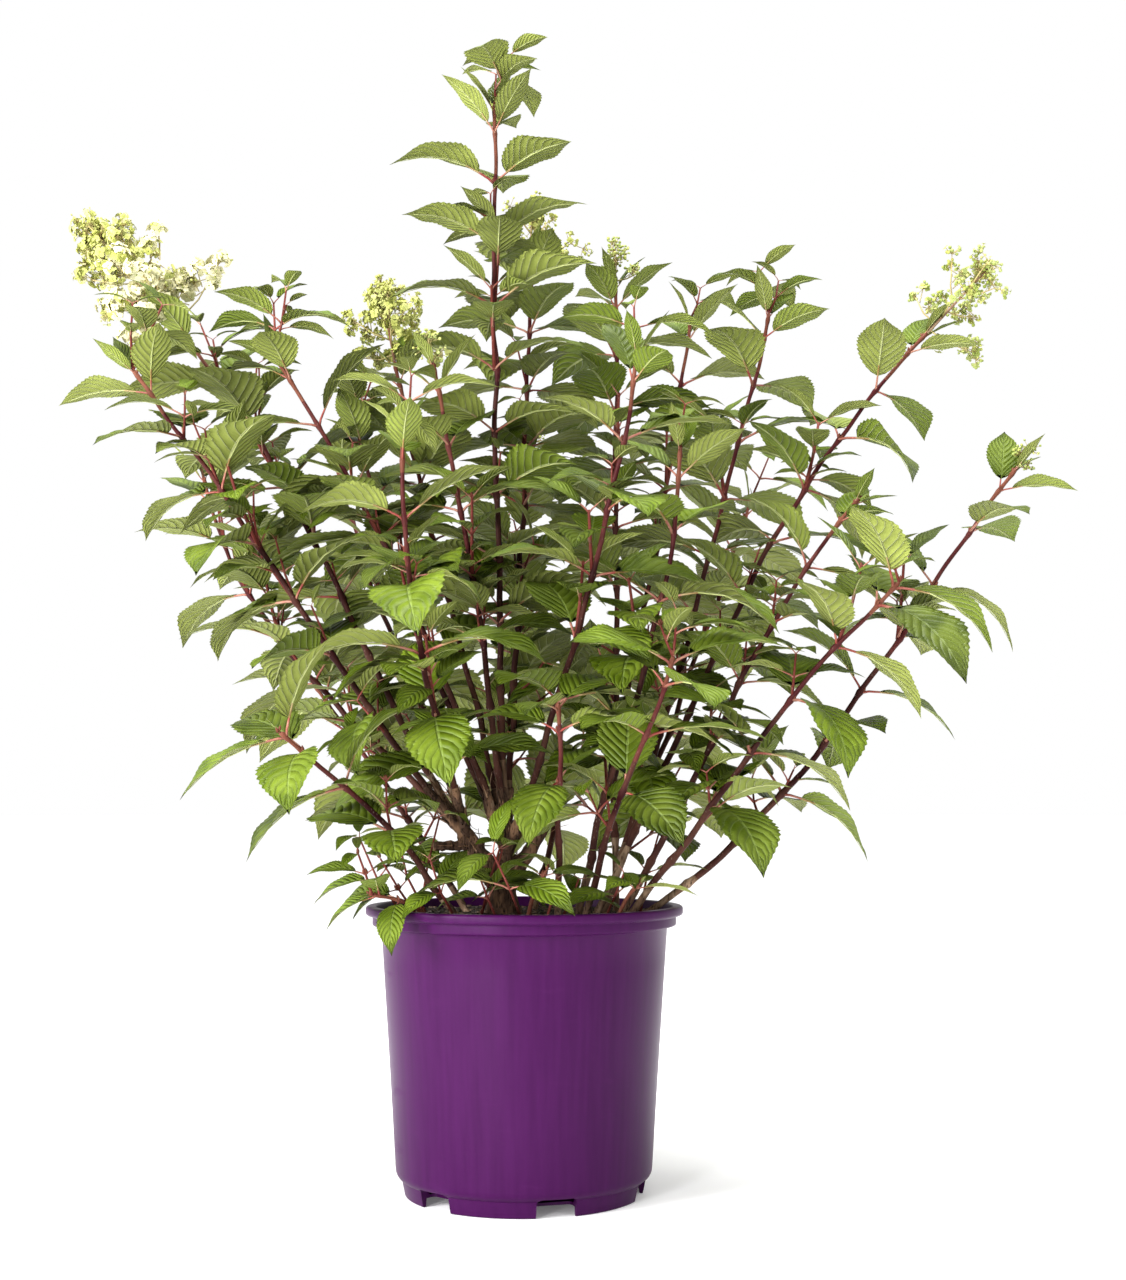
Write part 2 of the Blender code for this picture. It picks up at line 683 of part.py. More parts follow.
def build_pot(collection, cutters):
    lip_bottom = POT_HEIGHT - LIP_HEIGHT
    floor_top = FLOOR_UNDERSIDE + FLOOR_THICKNESS
    low_inside = BODY_LOW_RADIUS - WALL
    foot_inside = FOOT_RADIUS - FOOT_WALL
    profile = (
        (0.0, floor_top),
        (foot_inside - 0.004, floor_top),
        (low_inside, BODY_LOW_HEIGHT),
        (BODY_TOP_RADIUS - WALL, COLLAR_BOTTOM - 0.003),
        (LIP_INNER_RADIUS, COLLAR_BOTTOM + 0.0015),
        (LIP_INNER_RADIUS, POT_HEIGHT - 0.0012),
        (LIP_INNER_RADIUS + 0.0012, POT_HEIGHT),
        (RIM_RADIUS - 0.0025, POT_HEIGHT),
        (RIM_RADIUS, POT_HEIGHT - 0.0025),
        (RIM_RADIUS, lip_bottom + 0.0015),
        (RIM_RADIUS - 0.002, lip_bottom),
        (COLLAR_RADIUS, lip_bottom - 0.0004),
        (COLLAR_RADIUS, COLLAR_BOTTOM),
        (BODY_TOP_RADIUS + 0.001, COLLAR_BOTTOM - 0.0012),
        (BODY_TOP_RADIUS, COLLAR_BOTTOM - 0.009),
        (BODY_LOW_RADIUS, BODY_LOW_HEIGHT),
        (BODY_LOW_RADIUS - 0.0028, BODY_LOW_HEIGHT - 0.0078),
        (FOOT_RADIUS + 0.0010, BODY_LOW_HEIGHT - 0.0112),
        (FOOT_RADIUS, 0.0),
        (foot_inside, 0.0),
        (foot_inside - 0.0005, FLOOR_UNDERSIDE),
        (PAD_RADIUS + 0.001, FLOOR_UNDERSIDE),
        (PAD_RADIUS, 0.0),
        (0.0, 0.0),
    )
    pot = turned("pot", profile, collection)
    for index in range(NOTCH_COUNT):
        cutter = notch_cutter(index, cutters)
        cut = pot.modifiers.new(f"Notch {index}", "BOOLEAN")
        cut.operation = "DIFFERENCE"
        cut.object = cutter
        cut.solver = "EXACT"
    finish(pot, PURPLE, 0.35)


def notch_cutter(index, cutters):
    """A block that cuts one drain notch through the foot and the low wall."""
    bm = bmesh.new()
    bmesh.ops.create_cube(bm, size=1.0)
    bmesh.ops.scale(bm, vec=(NOTCH_WIDTH, NOTCH_DEPTH, 2 * NOTCH_HEIGHT), verts=bm.verts)
    obj = link_mesh(f"notch_{index}", mesh_from(bm, "notch"), cutters)
    angle = math.radians(FIRST_NOTCH + index * 360 / NOTCH_COUNT)
    radius = FOOT_RADIUS
    obj.location = (radius * math.sin(angle), -radius * math.cos(angle), 0.0)
    obj.rotation_euler = (0.0, 0.0, angle)
    obj.hide_render = True
    obj.display_type = "WIRE"
    return obj


def build_soil(collection):
    floor_top = FLOOR_UNDERSIDE + FLOOR_THICKNESS
    side = LIP_INNER_RADIUS - GAP
    profile = (
        (0.0, SOIL_TOP),
        (side, SOIL_TOP),
        (side, COLLAR_BOTTOM + 0.0017),
        (BODY_TOP_RADIUS - WALL - 2 * GAP, COLLAR_BOTTOM - 0.003),
        (BODY_LOW_RADIUS - WALL - 2 * GAP, BODY_LOW_HEIGHT),
        (FOOT_RADIUS - FOOT_WALL - 0.0055, floor_top + GAP),
        (0.0, floor_top + GAP),
    )
    soil = turned("soil", profile, collection)
    finish(soil, SOIL_BROWN, 0.95)


def straight_mesh(name, start, end, start_radius, end_radius):
    """A straight tapering limb from one place to another."""
    middle = start.lerp(end, 0.5)
    radii = (start_radius, (start_radius + end_radius) / 2, end_radius)
    return tube_mesh(name, (start, middle, end), radii)


def build_crown(collection, arms):
    """The woody crown: a flared foot, two forks, cut stubs and the canes' arms."""
    below = CROWN_FOOT - Vector((0.0, 0.0, CROWN_BELOW))
    waist = CROWN_FOOT + Vector((0.0, 0.0, WAIST_HEIGHT))
    narrow = CROWN_RADIUS * CROWN_NARROWING
    points = (below, CROWN_FOOT, waist, MIDDLE_FORK + FORK_RISE)
    radii = (CROWN_RADIUS * CROWN_FLARE, CROWN_RADIUS, narrow, FORK_RADIUS)
    foot = tube_mesh("crown", points, radii)
    crown = link_mesh("crown", cut_level(foot, SOIL_TOP + GAP), collection)
    left_end, right_end, back_end = (Vector(end) for end in STUB_ENDS)
    on_arm = MIDDLE_FORK.lerp(LEFT_FORK, STUB_ALONG_ARM)
    stubs = (
        (waist, LEFT_FORK + FORK_RISE, CROWN_RADIUS * LEFT_ARM_SHARE, FORK_RADIUS),
        (on_arm, left_end, STUB_RADIUS, STUB_END_RADIUS),
        (waist, right_end, FORK_RADIUS, STUB_RADIUS),
        (MIDDLE_FORK, back_end, STUB_RADIUS, STUB_END_RADIUS),
    )
    pieces = [
        straight_mesh(f"crown_stub_{index}", *stub) for index, stub in enumerate(stubs)
    ]
    join(crown, pieces + arms)
    finish(crown, BARK_BROWN, 0.85)


def room_for(cane, masses, limbs):
    """The test of room for a mass: its own stem against all other stems and limbs."""
    own = masses[cane.name]
    others = np.concatenate([points for name, points in masses.items() if name != cane.name])
    return lambda points, extra=None: has_room(
        points, own if extra is None else np.concatenate([own, extra]), others, limbs
    )


def build_mass(cane, path, start, section, room, collection):
    """A cane's leafy upper part: its stem, its leaves and its flower head, fused."""
    total = lengths_along(path)[-1]
    stem = limb_mesh("leaves_" + cane.name, path, start, total, STEM_SPACING, STEM_SWELL, section)
    if start == 0.0:
        cut_level(stem, SOIL_TOP + GAP)
    mass = link_mesh("leaves_" + cane.name, stem, collection)
    leaves, twigs = grow(cane, path, max(start, cane.bare * total))
    taken = [dense(path)[:1]]
    pieces = fitted_leaves(leaves, path, room, taken)
    for twig, twig_leaves in twigs:
        points = dense(twig)
        if room(points[TWIG_POINTS_IN_STEM:]):
            radii = [TWIG_RADIUS * share for share in TWIG_RADII]
            pieces.append(tube_mesh("twig", twig, radii, section))
            twig_room = partial(room, extra=points)
            pieces += fitted_leaves(twig_leaves, twig, twig_room, taken)
    if cane.head:
        pieces.append(axis_mesh(cane, path, section))
        pieces += [leaf_mesh("spray", spray) for spray in head_sprays(cane, path)]
    join(mass, pieces)
    finish(mass, LEAF_GREEN, 0.55)


def fitted_leaves(leaves, path, room, taken):
    """Meshes of those leaves that have room, which then take up theirs."""
    meshes = []
    for leaf in leaves:
        kept = fitted(leaf, stem_way(path, leaf.root), room, np.concatenate(taken))
        if kept is not None:
            meshes.append(leaf_mesh("leaf", sunk(kept, TIP_RADIUS)))
            taken.append(leaf_points(kept)[OUTER_POINTS:])
    return meshes


def stem_way(path, place):
    """The direction of a path where it passes a place."""
    index = min(range(len(path)), key=lambda step: (path[step] - place).length)
    low = max(index - 1, 0)
    high = min(index + 1, len(path) - 1)
    return (path[high] - path[low]).normalized()


def axis_mesh(cane, path, section):
    """The stalk inside a flower head."""
    tip, way = head_axis(cane, path)
    length = HEADS[cane.head].length * AXIS_SHARE
    points = [tip - way * AXIS_SUNK, tip + way * length * 0.5, tip + way * length]
    return tube_mesh("axis", points, [TIP_RADIUS * share for share in AXIS_RADII], section)


def main():
    clear_scene()
    plant = new_collection("Panicle hydrangea")
    cutters = new_collection("Cutters")
    section = triangle_section(cutters)
    build_pot(plant, cutters)
    build_soil(plant)
    paths = {cane.name: cane_path(cane) for cane in CANES + SHOOTS}
    skeletons = {name: dense(path) for name, path in paths.items()}
    crown_names = [cane.name for cane in CANES if len(cane.foot) == 3]
    masses = {}
    limbs = []
    for cane in CANES + SHOOTS:
        split = round(cane.bare * len(skeletons[cane.name]))
        masses[cane.name] = skeletons[cane.name][split:]
        limbs.append(skeletons[cane.name][: split - LIMB_END_POINTS])
    limbs = np.concatenate(limbs)
    arms = []
    for cane in CANES:
        path = paths[cane.name]
        start = 0.0
        if cane.name in crown_names:
            end = fork_length(cane.name, skeletons, crown_names)
            arms.append(limb_mesh("arm_" + cane.name, path, 0.0, end, ARM_SPACING, ARM_SWELL))
            start = end + GAP
        bare = cane.bare * lengths_along(path)[-1]
        limb = limb_mesh("cane_" + cane.name, path, start, bare, LIMB_SPACING)
        if start == 0.0:
            cut_level(limb, SOIL_TOP + GAP)
        obj = link_mesh("cane_" + cane.name, limb, plant)
        finish(obj, CANE_BROWN, 0.6)
        room = room_for(cane, masses, limbs)
        build_mass(cane, path, bare + GAP, section, room, plant)
    build_crown(plant, arms)
    for shoot in SHOOTS:
        room = room_for(shoot, masses, limbs)
        build_mass(shoot, paths[shoot.name], 0.0, section, room, plant)
    bpy.data.objects.remove(section, do_unlink=True)


main()
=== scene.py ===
"""Panicle hydrangea in its purple nursery pot, dressed around the packed solids.

The origin is on the pot's axis at the floor, +Z is up and the front faces -Y.
Every cane grows by the rule that the solids follow, from the same seeds, and is
carried on here to finer twigs, toothed leaves and single florets.
"""

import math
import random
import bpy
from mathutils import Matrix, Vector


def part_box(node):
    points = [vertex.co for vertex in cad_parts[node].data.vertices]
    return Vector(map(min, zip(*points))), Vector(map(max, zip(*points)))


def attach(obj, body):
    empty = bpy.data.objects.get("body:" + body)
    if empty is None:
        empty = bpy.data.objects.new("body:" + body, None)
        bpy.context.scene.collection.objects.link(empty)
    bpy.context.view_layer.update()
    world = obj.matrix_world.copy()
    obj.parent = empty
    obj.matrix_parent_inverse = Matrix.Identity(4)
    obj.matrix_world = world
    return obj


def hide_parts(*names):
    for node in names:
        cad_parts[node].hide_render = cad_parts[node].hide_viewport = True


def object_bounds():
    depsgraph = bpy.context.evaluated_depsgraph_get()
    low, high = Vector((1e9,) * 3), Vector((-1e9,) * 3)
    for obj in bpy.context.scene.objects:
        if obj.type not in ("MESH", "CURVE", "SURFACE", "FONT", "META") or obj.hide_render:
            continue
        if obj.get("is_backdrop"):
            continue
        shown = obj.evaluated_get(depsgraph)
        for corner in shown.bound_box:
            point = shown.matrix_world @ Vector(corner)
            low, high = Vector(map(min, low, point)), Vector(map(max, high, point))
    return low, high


bl_info = {
    "name": "Potted panicle hydrangea",
    "version": (1, 0, 0),
    "blender": (4, 5, 0),
    "location": "3D View > Sidebar > Hydrangea",
    "description": "Builds a panicle hydrangea in its nursery pot, piece by piece",
    "category": "Object",
}

from collections import namedtuple

import bpy
import numpy as np
from bpy.props import FloatProperty, FloatVectorProperty, IntProperty, PointerProperty
from mathutils import Matrix, Vector, noise

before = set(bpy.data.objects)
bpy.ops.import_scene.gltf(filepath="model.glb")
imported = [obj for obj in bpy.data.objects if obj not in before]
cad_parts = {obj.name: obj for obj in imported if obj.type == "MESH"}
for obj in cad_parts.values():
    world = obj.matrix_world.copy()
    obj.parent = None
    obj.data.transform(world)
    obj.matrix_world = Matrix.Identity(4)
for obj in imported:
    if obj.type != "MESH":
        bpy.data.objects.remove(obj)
CAD_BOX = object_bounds()
POT_LOW, POT_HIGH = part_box("pot")
SOIL_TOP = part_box("soil")[1].z
UP = Vector((0.0, 0.0, 1.0))

# Places that the canes grow from
CROWN_FOOT = Vector((-0.019, 0.0, SOIL_TOP))
LEFT_FORK = Vector((-0.050, -0.004, 0.306))
MIDDLE_FORK = Vector((-0.016, 0.003, 0.292))


# Canes and the leaves they bear. The internode is the length between two nodes.
FOOT_RADIUS_CANE = 0.0032
TIP_RADIUS = 0.0016
PATH_STEPS = 24
HANDLE = 0.36
LEAF_LENGTH = 0.112
LEAF_WIDTH_SHARE = 0.50
YOUNG_WIDTH = 0.18
TIP_GAP = 0.007
LOW_TIP = 0.56
LOW_CANE_LEVEL = 2
TOP_INTERNODE = 0.020
INTERNODE_GROWTH = 2.4
INTERNODE = 0.058
TWIG_LENGTH = 0.075
TWIG_RADIUS = 0.0016
TWIG_LEAF_SCALE = 0.80
TWIG_NODES = (0.95, 0.50)
FIRST_TWIG_LEVEL = 4

# Rules by level: the value at the tip, what each node below adds, and the most
OPENING = (22.0, 13.0, 52.0)
DROOP = (25.0, 18.0, 66.0)
DROOP_POWER = 0.9
SIZE = (0.45, 0.24, 1.0)

# Chance: degrees to either side of a rule, and ranges of a share or an angle
OPENING_SPREAD = 9
DROOP_SPREAD = 16
ROLL_SPREAD = 24
NODE_SPREAD = 9
PAIR_SPREAD = 23
SIZE_RANGE = (0.88, 1.08)
FOLD_RANGE = (8, 24)
TWIG_RANGE = (0.75, 1.15)

# How far a leaf's way may point down, how much its upper side leans with the stem,
# and how much a side twig leans to its leaf's upper side and then upright
LOWEST_WAY = -0.05
LEAN_WITH_STEM = 0.4
TWIG_LIFT = 0.9
TWIG_RISE = 0.35
TWIG_CURL = 0.4

# Pairs of leaves stand crosswise at each next node, and threes in line
TURN_PER_NODE = {2: 90, 3: 120}

Cane = namedtuple("Cane", "name foot tip lean curl bare whorl spin leaf twigs head")

# A cane's foot and tip are places, lean and curl are its angles from upright at the
# foot and at the tip, bare is the share of its length that carries no leaves, whorl
# is how many leaves stand at a node, spin turns the topmost node, leaf scales the
# leaves, twigs is how many side twigs it bears, and head names the flower head.
MIDDLE = tuple(MIDDLE_FORK)
LEFT = tuple(LEFT_FORK)
CANES = (
    Cane("leader", MIDDLE, (-0.029, 0.0, 0.979), 3, 0, 0.24, 3, 86, 0.96, 2, None),
    Cane("far_left", LEFT, (-0.345, -0.050, 0.718), 40, 38, 0.28, 2, 65, 1.05, 2, None),
    Cane("left_bloom", LEFT, (-0.328, 0.045, 0.782), 34, 42, 0.34, 2, 10, 1.05, 2, "cone"),
    Cane("left_bud", LEFT, (-0.318, 0.130, 0.655), 48, 16, 0.28, 2, 50, 1.00, 2, "bud"),
    Cane("left_shoulder", MIDDLE, (-0.224, -0.030, 0.736), 18, 34, 0.28, 2, 20, 1.05, 2, None),
    Cane("middle_bloom", MIDDLE, (-0.130, 0.110, 0.765), 14, 14, 0.42, 2, 35, 0.95, 1, "dome"),
    Cane("front_left", LEFT, (-0.095, -0.175, 0.640), 40, -6, 0.18, 2, 0, 1.00, 2, None),
    Cane("front_bud", MIDDLE, (-0.080, -0.060, 0.722), 8, 16, 0.30, 2, 70, 0.90, 1, "bud"),
    Cane("inner_left", MIDDLE, (-0.158, 0.045, 0.690), 22, 12, 0.42, 2, 15, 1.00, 0, None),
    Cane("upper_bloom", MIDDLE, (0.003, 0.095, 0.862), 8, 2, 0.48, 3, 50, 0.95, 0, "sparse"),
    Cane("front_right", MIDDLE, (0.095, -0.170, 0.705), 34, 16, 0.20, 2, 20, 1.00, 2, None),
    Cane("right_bud", (0.082, 0.030), (0.085, 0.110, 0.842), 3, 6, 0.44, 3, 0, 1.00, 1, "small"),
    Cane("right_back", (0.046, 0.048), (0.165, 0.200, 0.832), 22, 12, 0.42, 2, 30, 1.00, 1, None),
    Cane("right_top", (0.068, 0.016), (0.232, 0.085, 0.806), 20, 14, 0.34, 2, 50, 1.05, 1, None),
    Cane("right_bloom", (0.060, -0.006), (0.372, 0.030, 0.772), 26, 44, 0.38, 2, 40, 0.95, 1, "loose"),
    Cane("right_twig", (0.080, -0.012), (0.290, -0.070, 0.600), 34, 42, 0.30, 2, 10, 0.90, 0, None),
    Cane("right_low", (0.086, -0.034), (0.312, -0.130, 0.520), 40, 48, 0.28, 2, 15, 1.00, 1, None),
    Cane("far_right", (0.098, 0.006), (0.445, 0.000, 0.640), 58, 38, 0.28, 2, 75, 0.95, 1, "bud"),
    Cane("inner_right", (0.046, -0.022), (0.134, -0.095, 0.640), 12, 2, 0.26, 2, 60, 1.05, 1, None),
    Cane("front_low_right", (0.052, -0.046), (0.122, -0.175, 0.455), 22, 28, 0.38, 2, 20, 0.95, 0, None),
    Cane("front_low", (0.030, -0.040), (0.030, -0.135, 0.420), 14, 26, 0.42, 2, 60, 0.85, 0, None),
    Cane("low_left", (-0.052, -0.050), (-0.195, -0.150, 0.395), 38, 56, 0.30, 2, 30, 0.95, 0, None),
    Cane("back_left", LEFT, (-0.205, 0.270, 0.690), 36, 30, 0.30, 2, 25, 1.00, 1, None),
    Cane("back_middle", MIDDLE, (-0.010, 0.330, 0.725), 26, 22, 0.30, 2, 5, 1.00, 1, "small"),
    Cane("back_right", (0.070, 0.050), (0.235, 0.290, 0.660), 34, 32, 0.28, 2, 45, 1.00, 1, None),
    Cane("back_low", (0.006, 0.050), (0.070, 0.255, 0.440), 34, 44, 0.32, 2, 80, 0.95, 0, None),
    Cane("back_low_left", (-0.050, 0.040), (-0.215, 0.185, 0.455), 42, 46, 0.32, 2, 35, 0.95, 0, None),
)

# Short shoots from the soil, leafy from the ground
SHOOTS = (
    Cane("shoot_left", (-0.072, -0.070), (-0.124, -0.104, 0.262), 40, 84, 0.45, 2, 40, 0.62, 0, None),
    Cane("shoot_front", (0.004, -0.078), (0.020, -0.096, 0.282), 10, 40, 0.40, 2, 10, 0.50, 0, None),
    Cane("shoot_right", (0.076, -0.074), (0.098, -0.088, 0.270), 30, 60, 0.40, 2, 20, 0.52, 0, None),
)

# The pieces that canes and leaves are joined into, by their side of the plant
SIDES = {
    "left": ("far_left", "left_bloom", "left_bud", "left_shoulder"),
    "middle": ("leader", "middle_bloom", "front_left", "front_bud", "inner_left", "upper_bloom"),
    "right": (
        "front_right", "right_bud", "right_top", "right_bloom", "right_twig", "right_low",
        "far_right", "inner_right",
    ),
    "back": ("right_back", "back_left", "back_middle", "back_right", "back_low", "back_low_left"),
    "low": ("front_low_right", "front_low", "low_left", "shoot_left", "shoot_front", "shoot_right"),
}

Head = namedtuple("Head", "length radius sprays")
HEADS = {
    "cone": Head(0.152, 0.070, 18),
    "dome": Head(0.078, 0.056, 11),
    "sparse": Head(0.056, 0.046, 7),
    "small": Head(0.044, 0.026, 5),
    "loose": Head(0.104, 0.058, 9),
    "bud": Head(0.024, 0.014, 3),
}

Leaf = namedtuple("Leaf", "root along up length width thickness droop fold")
Twig = namedtuple("Twig", "path radius leaves")


def report(operator, text):
    """Tell the user what an operator has done."""
    operator.report({"INFO"}, text)
    return {"FINISHED"}


# Directions
def square_to(vector, way):
    """The direction of the part of a vector that stands square to a way."""
    return (vector - way * vector.dot(way)).normalized()


def outward_at(way, turn):
    """The direction that stands square to a way, turned about it."""
    across = square_to(Vector((1, 0, 0)), way)
    return across * math.cos(turn) + way.cross(across) * math.sin(turn)


def any_turn(rng):
    """An angle in radians, all angles being as likely."""
    return rng.uniform(0, math.tau)


def any_way(rng):
    """A direction, all directions being as likely."""
    z = rng.uniform(-1, 1)
    angle = any_turn(rng)
    flat = math.sqrt(1 - z * z)
    return Vector((flat * math.cos(angle), flat * math.sin(angle), z))


# Growth rule
def cane_foot(cane):
    """The foot as a place: a foot given by two numbers stands in the soil."""
    if len(cane.foot) == 3:
        return Vector(cane.foot)
    return Vector((*cane.foot, SOIL_TOP - 2 * FOOT_RADIUS_CANE))


def cane_path(cane):
    """Points along a cane's curve, from its foot to its tip."""
    foot = cane_foot(cane)
    tip = Vector(cane.tip)
    span = tip - foot
    bearing = Vector((span.x, span.y, 0.0)).normalized()
    lean = math.radians(cane.lean)
    curl = math.radians(cane.curl)
    start_way = bearing * math.sin(lean) + Vector((0, 0, math.cos(lean)))
    end_way = bearing * math.sin(curl) + Vector((0, 0, math.cos(curl)))
    first = foot + start_way * span.length * HANDLE
    second = tip - end_way * span.length * HANDLE
    points = []
    for step in range(PATH_STEPS + 1):
        t = step / PATH_STEPS
        s = 1 - t
        points.append(foot * s**3 + first * 3 * s * s * t + second * 3 * s * t * t + tip * t**3)
    return points


def lengths_along(path):
    """Distance from the first point to each point of a path."""
    total = [0.0]
    for start, end in zip(path, path[1:]):
        total.append(total[-1] + (end - start).length)
    return total


def place_at(path, distance):
    """The place and the direction at a distance along a path."""
    total = lengths_along(path)
    for index in range(1, len(path)):
        if distance <= total[index] or index == len(path) - 1:
            share = (distance - total[index - 1]) / (total[index] - total[index - 1])
            step = path[index] - path[index - 1]
            before = path[max(index - 2, 0)]
            after = path[min(index + 1, len(path) - 1)]
            way = (path[index] - before).lerp(after - path[index - 1], share)
            return path[index - 1] + step * share, way.normalized()


def node_distances(length, bare):
    """Distances along a stem where leaves stand, from the tip down."""
    distances = []
    down = TIP_GAP
    internode = TOP_INTERNODE
    while length - down > bare + TIP_GAP:
        distances.append(length - down)
        down += internode
        internode = min(internode * INTERNODE_GROWTH, INTERNODE)
    return distances


def by_level(rule, level):
    """The value that a rule of (at the tip, more at each node below, most) gives."""
    first, more, most = rule
    return min(first + more * level, most)


def strayed(angle, spread, rng):
    """An angle in degrees, moved by chance to either side, in radians."""
    return math.radians(angle + rng.uniform(-spread, spread))


def leaf_at(place, way, turn, level, scale, rng):
    """The leaf that stands at a node: level 0 is the topmost node."""
    outward = outward_at(way, turn)
    opening = strayed(by_level(OPENING, level), OPENING_SPREAD, rng)
    along = way * math.cos(opening) + outward * math.sin(opening)
    along.z = max(along.z, LOWEST_WAY)
    along.normalize()
    level_up = square_to(way * LEAN_WITH_STEM + UP, along)
    up = Matrix.Rotation(strayed(0, ROLL_SPREAD, rng), 3, along) @ level_up
    size = by_level(SIZE, level) * rng.uniform(*SIZE_RANGE) * scale
    length = LEAF_LENGTH * size
    width = length * LEAF_WIDTH_SHARE * min(1.0, YOUNG_WIDTH + length / LEAF_LENGTH)
    droop = strayed(by_level(DROOP, level), DROOP_SPREAD, rng)
    fold = math.radians(rng.uniform(*FOLD_RANGE))
    thickness = bpy.context.scene.hydrangea_leaves.thickness
    return Leaf(place, along, up, length, width, thickness, droop, fold)


def short_path(root, way, length, swerve):
    """Three points of a twig that sets out one way and swerves halfway."""
    middle = root + way * length * 0.5
    end = middle + (way + swerve).normalized() * length * 0.5
    return [root, middle, end]


def grow_twig(leaf, scale, rng):
    """A side twig that grows out above a leaf, and its own leaves."""
    way = (leaf.along + leaf.up * TWIG_LIFT + UP * TWIG_RISE).normalized()
    path = short_path(leaf.root, way, TWIG_LENGTH * rng.uniform(*TWIG_RANGE), UP * TWIG_CURL)
    length = lengths_along(path)[-1]
    leaves = []
    for level, share in enumerate(TWIG_NODES):
        place, way = place_at(path, length * share)
        start = strayed(90 * level, PAIR_SPREAD, rng)
        for index in range(2):
            turn = start + math.pi * index
            leaves.append(leaf_at(place, way, turn, level + 1, scale * TWIG_LEAF_SCALE, rng))
    return Twig(path, TWIG_RADIUS, leaves)


def grow(cane, path, bare):
    """The leaves a cane bears from the tip down, and its twigs with their leaves."""
    rng = random.Random(cane.name)
    total = lengths_along(path)[-1]
    first_level = LOW_CANE_LEVEL if cane.tip[2] < LOW_TIP else 0
    leaves = []
    twigs = []
    for level, distance in enumerate(node_distances(total, bare), first_level):
        place, way = place_at(path, distance)
        turn_here = strayed(cane.spin + level * TURN_PER_NODE[cane.whorl], NODE_SPREAD, rng)
        for index in range(cane.whorl):
            turn = turn_here + math.tau * index / cane.whorl
            leaves.append(leaf_at(place, way, turn, level, cane.leaf, rng))
        if level >= FIRST_TWIG_LEVEL and len(twigs) < cane.twigs:
            twigs.append(grow_twig(leaves[-1 - level % cane.whorl], cane.leaf, rng))
    return leaves, twigs


# Finer growth than the solids carry. Lengths are a twig's, scales its leaves', and a
# pair of numbers is a range. Full growth is the denser kind, on the left canes.
FineGrowth = namedtuple("FineGrowth", "first_level share lengths")
FINE = FineGrowth(3, 0.36, (0.018, 0.050))
FULL = FineGrowth(2, 0.66, (0.032, 0.070))
FINE_SCALES = (0.34, 0.66)
FINE_RADIUS = 0.0011
FINE_BEND = (-0.2, 0.2)
FINE_RISE = 0.3
AXIL_REACH = 0.7
AXIL_RISE = 0.5

# A fine twig's pairs of leaves, from its end down: their level and scale
FINE_PAIRS = ((2, 0.8), (3, 1.1))

# Twigs on the bare lower part of a cane: how many places bear one, and how they rise
LOW_SHARE = 0.26
LOW_LENGTHS = (0.035, 0.075)
LOW_SCALES = (0.50, 0.85)
LOW_RISES = (0.2, 1.0)
LOW_LEAN = 0.4
LOW_END = 0.06

# Shoots from the soil, gathered round the front
BASAL_SHOOTS = 13
BASAL_SPREAD = 1.1
BASAL_PLACES = (0.035, 0.108)
BASAL_DEPTH = 0.002
BASAL_SWAY = (-0.5, 0.5)
BASAL_RISE = 1.2
BASAL_LEANS = (-0.3, 0.7)
BASAL_LENGTHS = (0.035, 0.105)
BASAL_SCALES = (0.42, 0.70)

# The smallest leaves round a growing tip
TIP_LEAVES = 3
TIP_SCALES = (0.22, 0.34)
TIP_TURN = 45


def fine_twig(root, way, lengths, scales, rng):
    """A short shoot with two pairs of young leaves, set crosswise."""
    length = rng.uniform(*lengths)
    scale = rng.uniform(*scales)
    bend = Vector((rng.uniform(*FINE_BEND), rng.uniform(*FINE_BEND), FINE_RISE))
    path = short_path(root, way, length, bend)
    end_way = (path[2] - path[1]).normalized()
    turn = any_turn(rng)
    young = []
    for step, (level, pair_scale) in enumerate(FINE_PAIRS):
        for side in range(2):
            angle = turn + math.pi * side + math.pi / 2 * step
            young.append(leaf_at(path[2 - step], end_way, angle, level, scale * pair_scale, rng))
    return Twig(path, FINE_RADIUS, young)


def fine_twigs(cane, leaves):
    """Short shoots with young leaves in the axils below a cane's top."""
    rng = random.Random(cane.name + "_fine")
    growth = FULL if cane.name in SIDES["left"] else FINE
    twigs = []
    for index, leaf in enumerate(leaves):
        if index // cane.whorl < growth.first_level or rng.random() > growth.share:
            continue
        way = (leaf.along * AXIL_REACH + leaf.up + UP * AXIL_RISE).normalized()
        twigs.append(fine_twig(leaf.root, way, growth.lengths, FINE_SCALES, rng))
    return twigs


def low_twigs(cane, path):
    """Short shoots on the lower part of a cane, which bears no leaves in the solids."""
    rng = random.Random(cane.name + "_low")
    total = lengths_along(path)[-1]
    twigs = []
    for distance in node_distances(cane.bare * total, LOW_END):
        place, way = place_at(path, distance)
        for _ in range(2):
            if rng.random() > LOW_SHARE:
                continue
            angle = any_turn(rng)
            outward = Vector((math.cos(angle), math.sin(angle), rng.uniform(*LOW_RISES)))
            shoot_way = (outward + way * LOW_LEAN).normalized()
            twigs.append(fine_twig(place, shoot_way, LOW_LENGTHS, LOW_SCALES, rng))
    return twigs


def basal_twigs():
    """Small leafy shoots from the soil between the canes, most of them in front."""
    rng = random.Random("basal")
    twigs = []
    for _ in range(BASAL_SHOOTS):
        angle = rng.gauss(-math.pi / 2, BASAL_SPREAD)
        from_axis = rng.uniform(*BASAL_PLACES)
        outward = Vector((math.cos(angle), math.sin(angle), 0.0))
        root = outward * from_axis + Vector((0, 0, SOIL_TOP - BASAL_DEPTH))
        sway = Vector((rng.uniform(*BASAL_SWAY), rng.uniform(*BASAL_SWAY), BASAL_RISE))
        way = (outward * rng.uniform(*BASAL_LEANS) + sway).normalized()
        twigs.append(fine_twig(root, way, BASAL_LENGTHS, BASAL_SCALES, rng))
    return twigs


